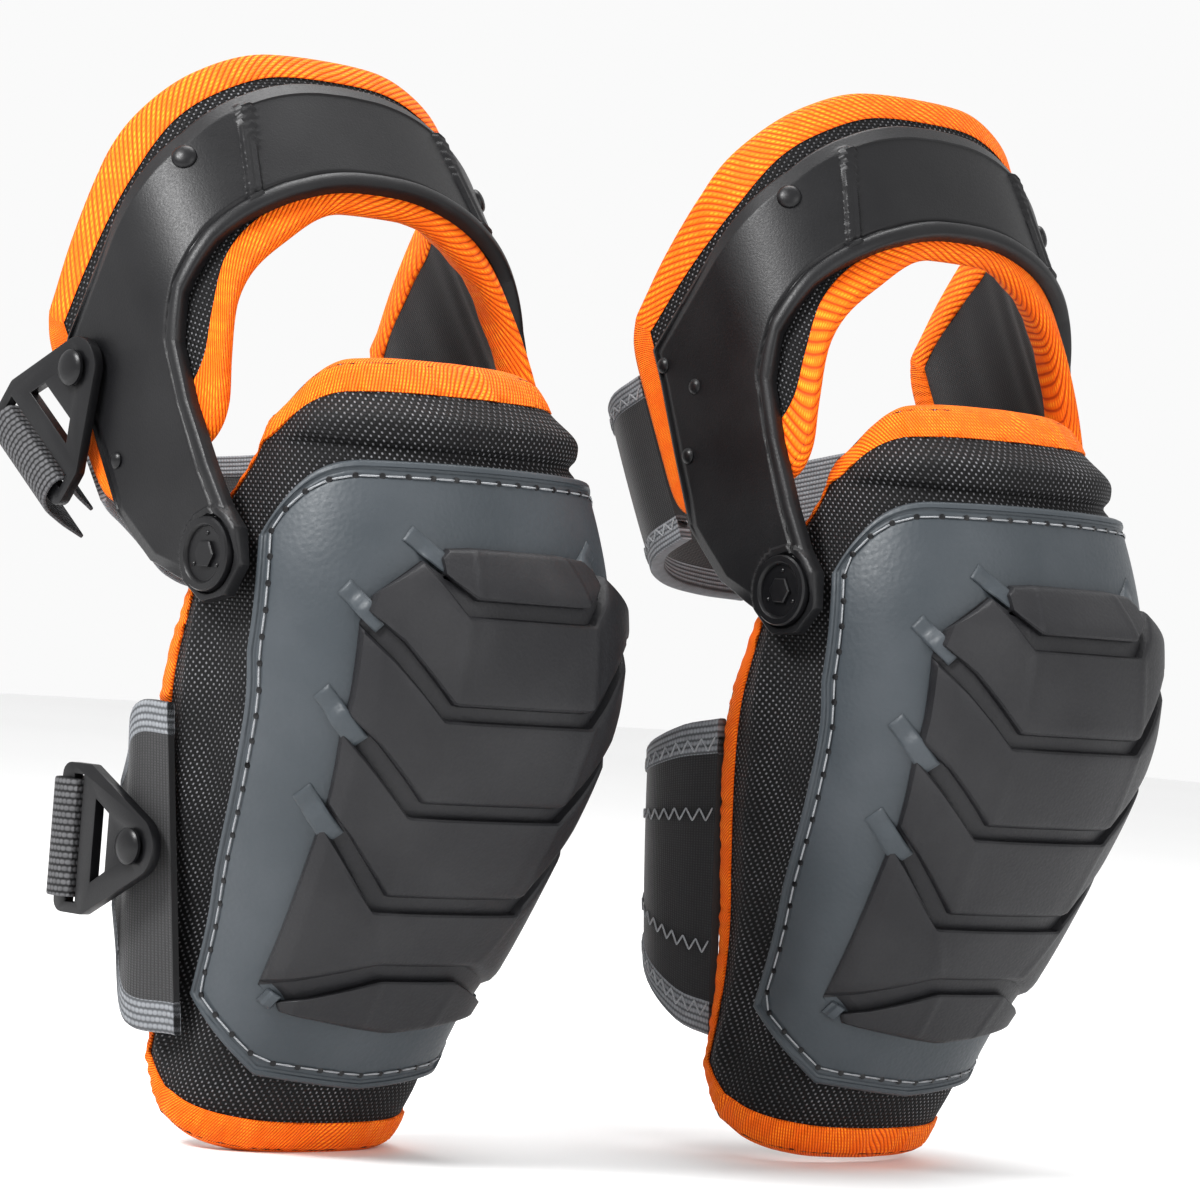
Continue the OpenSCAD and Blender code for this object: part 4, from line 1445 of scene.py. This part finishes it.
    def yoke_lift(self, u: Points, v: Points) -> Points:
        """The yoke's relief: rib, chamfer, bars, sunk panel, side plates and boss ring."""
        c, t, width = self.ribbon(u, v)
        c = np.abs(c)
        near, far = v * width, (1 - v) * width
        open_part = ease((0.93 - np.abs(u)) / 0.06)
        crown = np.sqrt(np.clip(1 - ((near - self.rib_half) / self.rib_half) ** 2, 0, 1))
        rib = self.rib_rise * crown * open_part
        groove = -0.55 * np.exp(-(((near - 6.1) / 0.55) ** 2)) * open_part
        chamfer = -1.9 * np.clip(1 - far / self.chamfer, 0, 1) * ease((0.86 - np.abs(u)) / 0.05)
        within = np.clip((41.5 + (140 - t) * 0.21 - c) / 0.6, 0, 1)
        panel = -0.5 * within * (far > self.chamfer) * (near > 6)
        behind = np.clip((c - (90 + (t - 72) * 0.143)) / 40, 0, 1)
        side = -1.1 * behind * (near > 6) * (far > 2) * ease((t - 30) / 20)
        spot = np.hypot(c - (CUFF.curved + CUFF.centre), t)
        ring = 0.9 * np.clip((1.6 - np.abs(spot - self.boss_ring)) / 0.5, 0, 1)
        round_off = -0.9 * np.clip(1 - np.minimum(near, far) / 0.8, 0, 1) ** 2
        return rib + groove + chamfer + self.bar(c, t, near) + panel + side + ring + round_off

    def yoke(self) -> None:
        """The moulded arch with its two arms."""
        yoke = Bench3D.sheet(
            "yoke",
            both_ways(marks((0, 0), (0.1, 22), (0.2, 70), (0.45, 70), (0.8, 60), (1, 60))),
            marks((0, 0), (0.02, 3), (0.2, 20), (0.8, 34), (0.96, 16), (1, 5)),
            lambda u, v: CUFF.place(*self.ribbon(u, v)[:2], self.yoke_lift(u, v)),
            lambda u, v: CUFF.place(*self.ribbon(u, v)[:2], -self.yoke_wall),
            laid_out(self.ribbon),
            sharp=28,
        )
        self.fitter.fit(yoke, "cuff", Slot.YOKE, ("yoke",), True)

    @staticmethod
    def on_yoke(piece: bpy.types.Object, c: float, t: float, lift: float) -> bpy.types.Object:
        """Stands a turned piece on the yoke's surface."""
        at, over = (CUFF.place(np.array([c]), np.array([t]), lift + rise)[0] for rise in (0, 1))
        turn = Vector(over - at).to_track_quat("Z", "Y").to_matrix().to_4x4()
        return placed(piece, Matrix.Translation(Vector(at) * MM) @ turn)

    def rivets(self) -> None:
        """The domes and small rivets."""
        made = []
        c_dome = float(np.interp(self.dome_at[0], CUFF.xs, CUFF.arc))
        for side in (-1, 1):
            dome = Bench3D.turned(f"dome{side}", self.dome, 32)
            made.append(self.on_yoke(dome, side * c_dome, self.dome_at[1], 0.1))
        for f, t, side in self.small_rivets_at:
            c = side * (CUFF.curved + CUFF.centre - f)
            small = Bench3D.turned(f"rivet{f}{t}{side}", self.small_rivet, 24)
            made.append(self.on_yoke(small, c, t, -0.9))
        rivets = Bench3D.join("yoke_rivets", made)
        self.fitter.fit(rivets, "cuff", Slot.PLASTIC, ("yoke_rivets",), True)

    def build(self) -> None:
        """Builds every piece of the cuff."""
        self.cloth()
        self.yoke()
        self.rivets()


@dataclass
class Hinges:
    """The round caps over the pivots, in millimetres."""

    fitter: Fitter
    inner_face: float = 74.35
    dot_circle: float = 6.4
    rim: tuple = (
        (11.4, 0), (11.4, 2.2), (10.9, 2.9), (9.2, 3.0), (8.6, 2.5), (8.3, 1.5), (6, 1.3), (0.5, 1.3),
    )
    hexagon: tuple = ((4.5, 1), (4.5, 2.3), (4.0, 2.7), (0.5, 2.7))
    dot: tuple = ((0.7, 1), (0.7, 1.6), (0.3, 1.9))

    def build(self) -> None:
        """A dished cap with a hexagon and three dots on each side."""
        made = []
        for side in (-1, 1):
            at = outwards(side, side * self.inner_face, 0, 0)
            made.append(placed(Bench3D.turned(f"cap{side}", self.rim, 64), at))
            made.append(placed(Bench3D.turned(f"hex{side}", self.hexagon, 6), at))
            for third in range(3):
                turn = math.radians(90 + 120 * third)
                y, z = self.dot_circle * math.cos(turn), self.dot_circle * math.sin(turn)
                dot = Bench3D.turned(f"dot{side}{third}", self.dot, 12)
                made.append(placed(dot, outwards(side, side * self.inner_face, y, z)))
        caps = Bench3D.join("hinge_caps", made)
        self.fitter.fit(caps, "pad", Slot.PLASTIC, ("hinge_caps",))


@dataclass
class Straps:
    """Every strap, post, buckle and webbing, in millimetres."""

    fitter: Fitter
    calf_top: tuple = (
        (61.5, 36.5, -43), (64, 50, -46), (62, 65, -52), (52, 77, -57), (38, 84, -59),
        (18, 87.5, -60), (2, 88, -60),
    )
    calf_low: tuple = (
        (39.5, 52, -149), (44, 61, -146), (48, 71, -136), (45, 79, -126), (35, 84.5, -121),
        (18, 87.5, -119), (2, 88, -118),
    )
    calf_elastic: tuple = (
        (14, 91.3), (0, 91.3), (-12, 87.5), (-22, 81), (-36, 73), (-47, 66.5), (-53, 60.5), (-56, 54),
    )
    calf_level: float = -91.5
    wing_top: tuple = ((-67.5, 22, -46), (-67.5, 37, -47), (-62, 46, -62), (-58.5, 53, -72))
    wing_low: tuple = ((-51.5, 26, -149), (-51.5, 52, -147), (-55, 54, -124), (-56, 56, -112))
    thigh: tuple = ((66, 42.5), (66, 52), (60, 64), (46, 74), (24, 80), (2, 82))
    thigh_elastic: tuple = (
        (14, 85.6), (0, 85.6), (-16, 80.3), (-30, 70.5), (-42, 61.5), (-52, 54.5), (-61, 48.5),
        (-67, 43.5),
    )
    thigh_level: float = 68.0
    webbing: tuple = (
        (14, 40.5), (4, 34.2), (1.4, 31.2), (-1, 29.7), (-4.2, 29.7), (-6, 31.6), (-6.4, 36),
        (-4.4, 40.5), (4, 46), (16, 51.5),
    )
    lower_post: tuple = (-64.4, 34, -91.5)
    upper_post: tuple = UPPER_POST
    upper_turn: float = -17.0
    post: tuple = (
        (6.6, -0.4), (6.6, 0.1), (3.4, 0.1), (3.4, 5.0), (5.0, 5.0), (5.7, 5.4), (5.7, 6.4),
        (5.2, 7.0), (3.8, 7.5), (2.0, 7.75), (0.3, 7.8),
    )
    edge_tall: float = 8.8
    thread_radius: float = 0.36
    elastic_half: float = 19.0
    buckle_round: float = 0.0008

    def seams(self, name: str, body: str, threads: list, on_cuff: bool) -> None:
        """Zigzag threads as one piece."""
        beads = Bench3D.beads(name, threads, self.thread_radius)
        self.fitter.fit(beads, body, Slot.ELASTIC, (), on_cuff, self.fitter.wardrobe.thread)

    def wide(self, name: str, form: StrapForm, body: str, on_cuff: bool, mid_seams: tuple) -> None:
        """A neoprene strap with grey edges and zigzag seams.

        Args:
            name: the strap's own name.
            form: its shape.
            body: the body it rides on.
            on_cuff: it is drawn in the cuff's frame.
            mid_seams: shares of its height where further seams run.
        """
        edge = self.edge_tall / form.tall
        panel = form.build(name, edge * 0.5, 1 - edge * 0.5, swell=0.5)
        self.fitter.fit(panel, body, Slot.NEOPRENE, (name,), on_cuff, fill=0.5)
        bands = [form.build(f"{name}_a", 0, edge, 1.0), form.build(f"{name}_b", 1 - edge, 1, 1.0)]
        joined = Bench3D.join(f"{name}_edges", bands)
        self.fitter.fit(joined, body, Slot.ELASTIC, (f"{name}_edges",), on_cuff)
        threads = form.zigzag(edge * 0.7, out=0.35) + form.zigzag(1 - edge * 0.7, out=0.35)
        for share in mid_seams:
            threads += form.zigzag(share, out=0.55)
        self.seams(f"{name}_seams", body, threads, on_cuff)

    def elastics(self) -> None:
        """The two elastic straps and the stretch wing."""
        fit = self.fitter.fit
        calf = StrapForm.level(self.calf_elastic, self.calf_level, self.elastic_half, 2)
        fit(calf.build("calf_elastic"), "pad", Slot.ELASTIC, ("calf_elastic",))
        thigh = StrapForm.level(self.thigh_elastic, self.thigh_level, self.elastic_half, 2)
        fit(thigh.build("thigh_elastic"), "cuff", Slot.ELASTIC, ("thigh_elastic",), True)
        wing = StrapForm(self.wing_top, self.wing_low, 2.4)
        fit(wing.build("clip_wing"), "pad", Slot.NEOPRENE, ("clip_wing",))
        ends = [wing.build("wing_a", 0, 0.1, 0.6), wing.build("wing_b", 0.9, 1, 0.6)]
        fit(Bench3D.join("clip_wing_ends", ends), "pad", Slot.ELASTIC)
        threads = wing.zigzag(0.08, out=0.3) + wing.zigzag(0.92, out=0.3)
        self.seams("clip_wing_seams", "pad", threads, False)

    def clips(self) -> None:
        """The webbing and the posts, lower and upper."""
        fit = self.fitter.fit
        webbing = StrapForm.level(self.webbing, 0, 18.5, 1.4)
        clips = (
            ("lower", "pad", self.lower_post, 0.0),
            ("upper", "cuff", self.upper_post, self.upper_turn),
        )
        for level, _, post, swing in clips:
            at = Matrix.Translation(Vector(post) * MM) @ Matrix.Rotation(math.radians(swing), 4, "X")
            loop = placed(webbing.build(f"{level}_webbing"), at)
            fit(loop, f"{level}_clip", Slot.WEBBING, (f"{level}_webbing",), level == "upper")
        for level, body, post, _ in clips:
            stud = placed(Bench3D.turned(f"{level}_post", self.post), outwards(-1, *post))
            fit(stud, body, Slot.PLASTIC, (f"{level}_post",), level == "upper")

    def buckles(self) -> None:
        """The flat buckles, with their edges softened."""
        for name in (f"{side}_{level}" for side in ("left", "right") for level in ("lower", "upper")):
            node = f"{name}_buckle"
            made = frame["nodes"][node].copy()
            made.data = made.data.copy()
            made.name = made.data.name = f"{node}_look"
            made.parent = None
            bpy.context.scene.collection.objects.link(made)
            Bench3D.edit(
                made,
                lambda: bpy.ops.mesh.remove_doubles(threshold=1e-5),
                lambda: bpy.ops.mesh.dissolve_limited(angle_limit=math.radians(1)),
            )
            Bench3D.apply(
                made, "BEVEL", width=self.buckle_round, segments=2, limit_method="ANGLE",
                angle_limit=math.radians(50),
            )
            Bench3D.smooth(made, 30)
            self.fitter.wardrobe.dress(made, Slot.BUCKLE)
            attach(made, f"{name}_clip")
            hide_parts(node)
            LOG.info("fitted %s", node)

    def build(self) -> None:
        """Builds every strap piece."""
        self.wide("calf_strap", StrapForm(self.calf_top, self.calf_low, 4), "pad", False, (0.3, 0.72))
        thigh = StrapForm.level(self.thigh, self.thigh_level, 30, 4)
        self.wide("thigh_strap", thigh, "cuff", True, ())
        self.elastics()
        self.clips()
        self.buckles()


@dataclass
class Studio:
    """Floor, light and camera, in metres."""

    target: tuple = (0.0822, -0.0061, -0.0046)
    azimuth: float = 43.0
    roll: float = 4.5
    distance: float = 1.6
    view: float = 13.8
    sky: float = 0.8
    # each lamp: name, how far ahead, right and up of the target, watts, size
    lamps: tuple = (
        ("key", -1.0, -1.1, 1.3, 40, 0.6), ("fill", -1.3, 1.2, 0.5, 9, 1.2), ("top", 0.5, 0, 1.6, 16, 1.0),
    )

    def floor(self) -> None:
        """A pale floor just under the pads, and a white sky."""
        low = Vector(START_BOX[0]).z
        bpy.ops.mesh.primitive_plane_add(size=8, location=(0.09, 0, low - 0.0005))
        floor = Bench3D.named("studio_floor")
        b = Bench("floor")
        cloud = b.noise(0.6, 2.0)
        pale = b.blend(cloud, (0.86, 0.86, 0.86), (0.9, 0.9, 0.9))
        floor.data.materials.append(b.finish(Base_Color=pale, Roughness=0.6))
        world = bpy.data.worlds.new("studio")
        bpy.context.scene.world = world
        world.use_nodes = True
        sky = world.node_tree.nodes["Background"]
        sky.inputs[0].default_value = (1, 1, 1, 1)
        sky.inputs[1].default_value = self.sky

    def light(self, target: Vector, ahead: Vector, right: Vector) -> None:
        """Soft lamps round the target."""
        for name, forward, across, high, power, size in self.lamps:
            place = ahead * forward + right * across + Vector((0, 0, high))
            lamp = bpy.data.lights.new(name, "AREA")
            lamp.energy, lamp.size = power, size
            made = bpy.data.objects.new(name, lamp)
            bpy.context.scene.collection.objects.link(made)
            made.location = target + place
            made.rotation_euler = (-place).to_track_quat("-Z", "Y").to_euler()

    def build(self) -> None:
        """The floor, the lamps, and a long lens on the pair."""
        self.floor()
        turn, roll = math.radians(self.azimuth), math.radians(self.roll)
        ahead = Vector((math.sin(turn), math.cos(turn), 0))
        right = Vector((math.cos(turn), -math.sin(turn), 0))
        target = Vector(self.target)
        self.light(target, ahead, right)
        data = bpy.data.cameras.new("camera")
        data.angle = math.radians(self.view)
        camera = bpy.data.objects.new("camera", data)
        bpy.context.scene.collection.objects.link(camera)
        up = Vector((0, 0, 1))
        x_axis = right * math.cos(roll) + up * math.sin(roll)
        y_axis = -right * math.sin(roll) + up * math.cos(roll)
        turned = Matrix((x_axis, y_axis, -ahead)).transposed()
        camera.matrix_world = Matrix.Translation(target - ahead * self.distance) @ turned.to_4x4()
        bpy.context.scene.camera = camera
        bpy.context.scene.view_settings.view_transform = "Standard"
        bpy.context.scene.view_settings.look = "Medium High Contrast"


def dress_kept_nodes(wardrobe: Wardrobe) -> None:
    """Gives every carried-over node its finish."""
    kept = {
        "pad_foam": Slot.FOAM, "gel_insert": Slot.GEL, "hinge_plates": Slot.PLASTIC,
        "hinge_pins": Slot.STEEL, "hinge_washers": Slot.WASHER,
    }
    for name, node in frame["nodes"].items():
        wardrobe.dress(node, kept.get(name.split("_", 1)[1], Slot.PLASTIC))


def main() -> None:
    """Builds the look of both pads, dresses the kept nodes, and sets the stage."""
    logging.basicConfig(level=logging.INFO, format="%(message)s")
    wardrobe = Wardrobe()
    fitter = Fitter(wardrobe)
    for part in (LowerPad(fitter), Cuff(fitter), Hinges(fitter), Straps(fitter)):
        part.build()
    dress_kept_nodes(wardrobe)
    Studio().build()


if __name__ == "__main__":
    main()
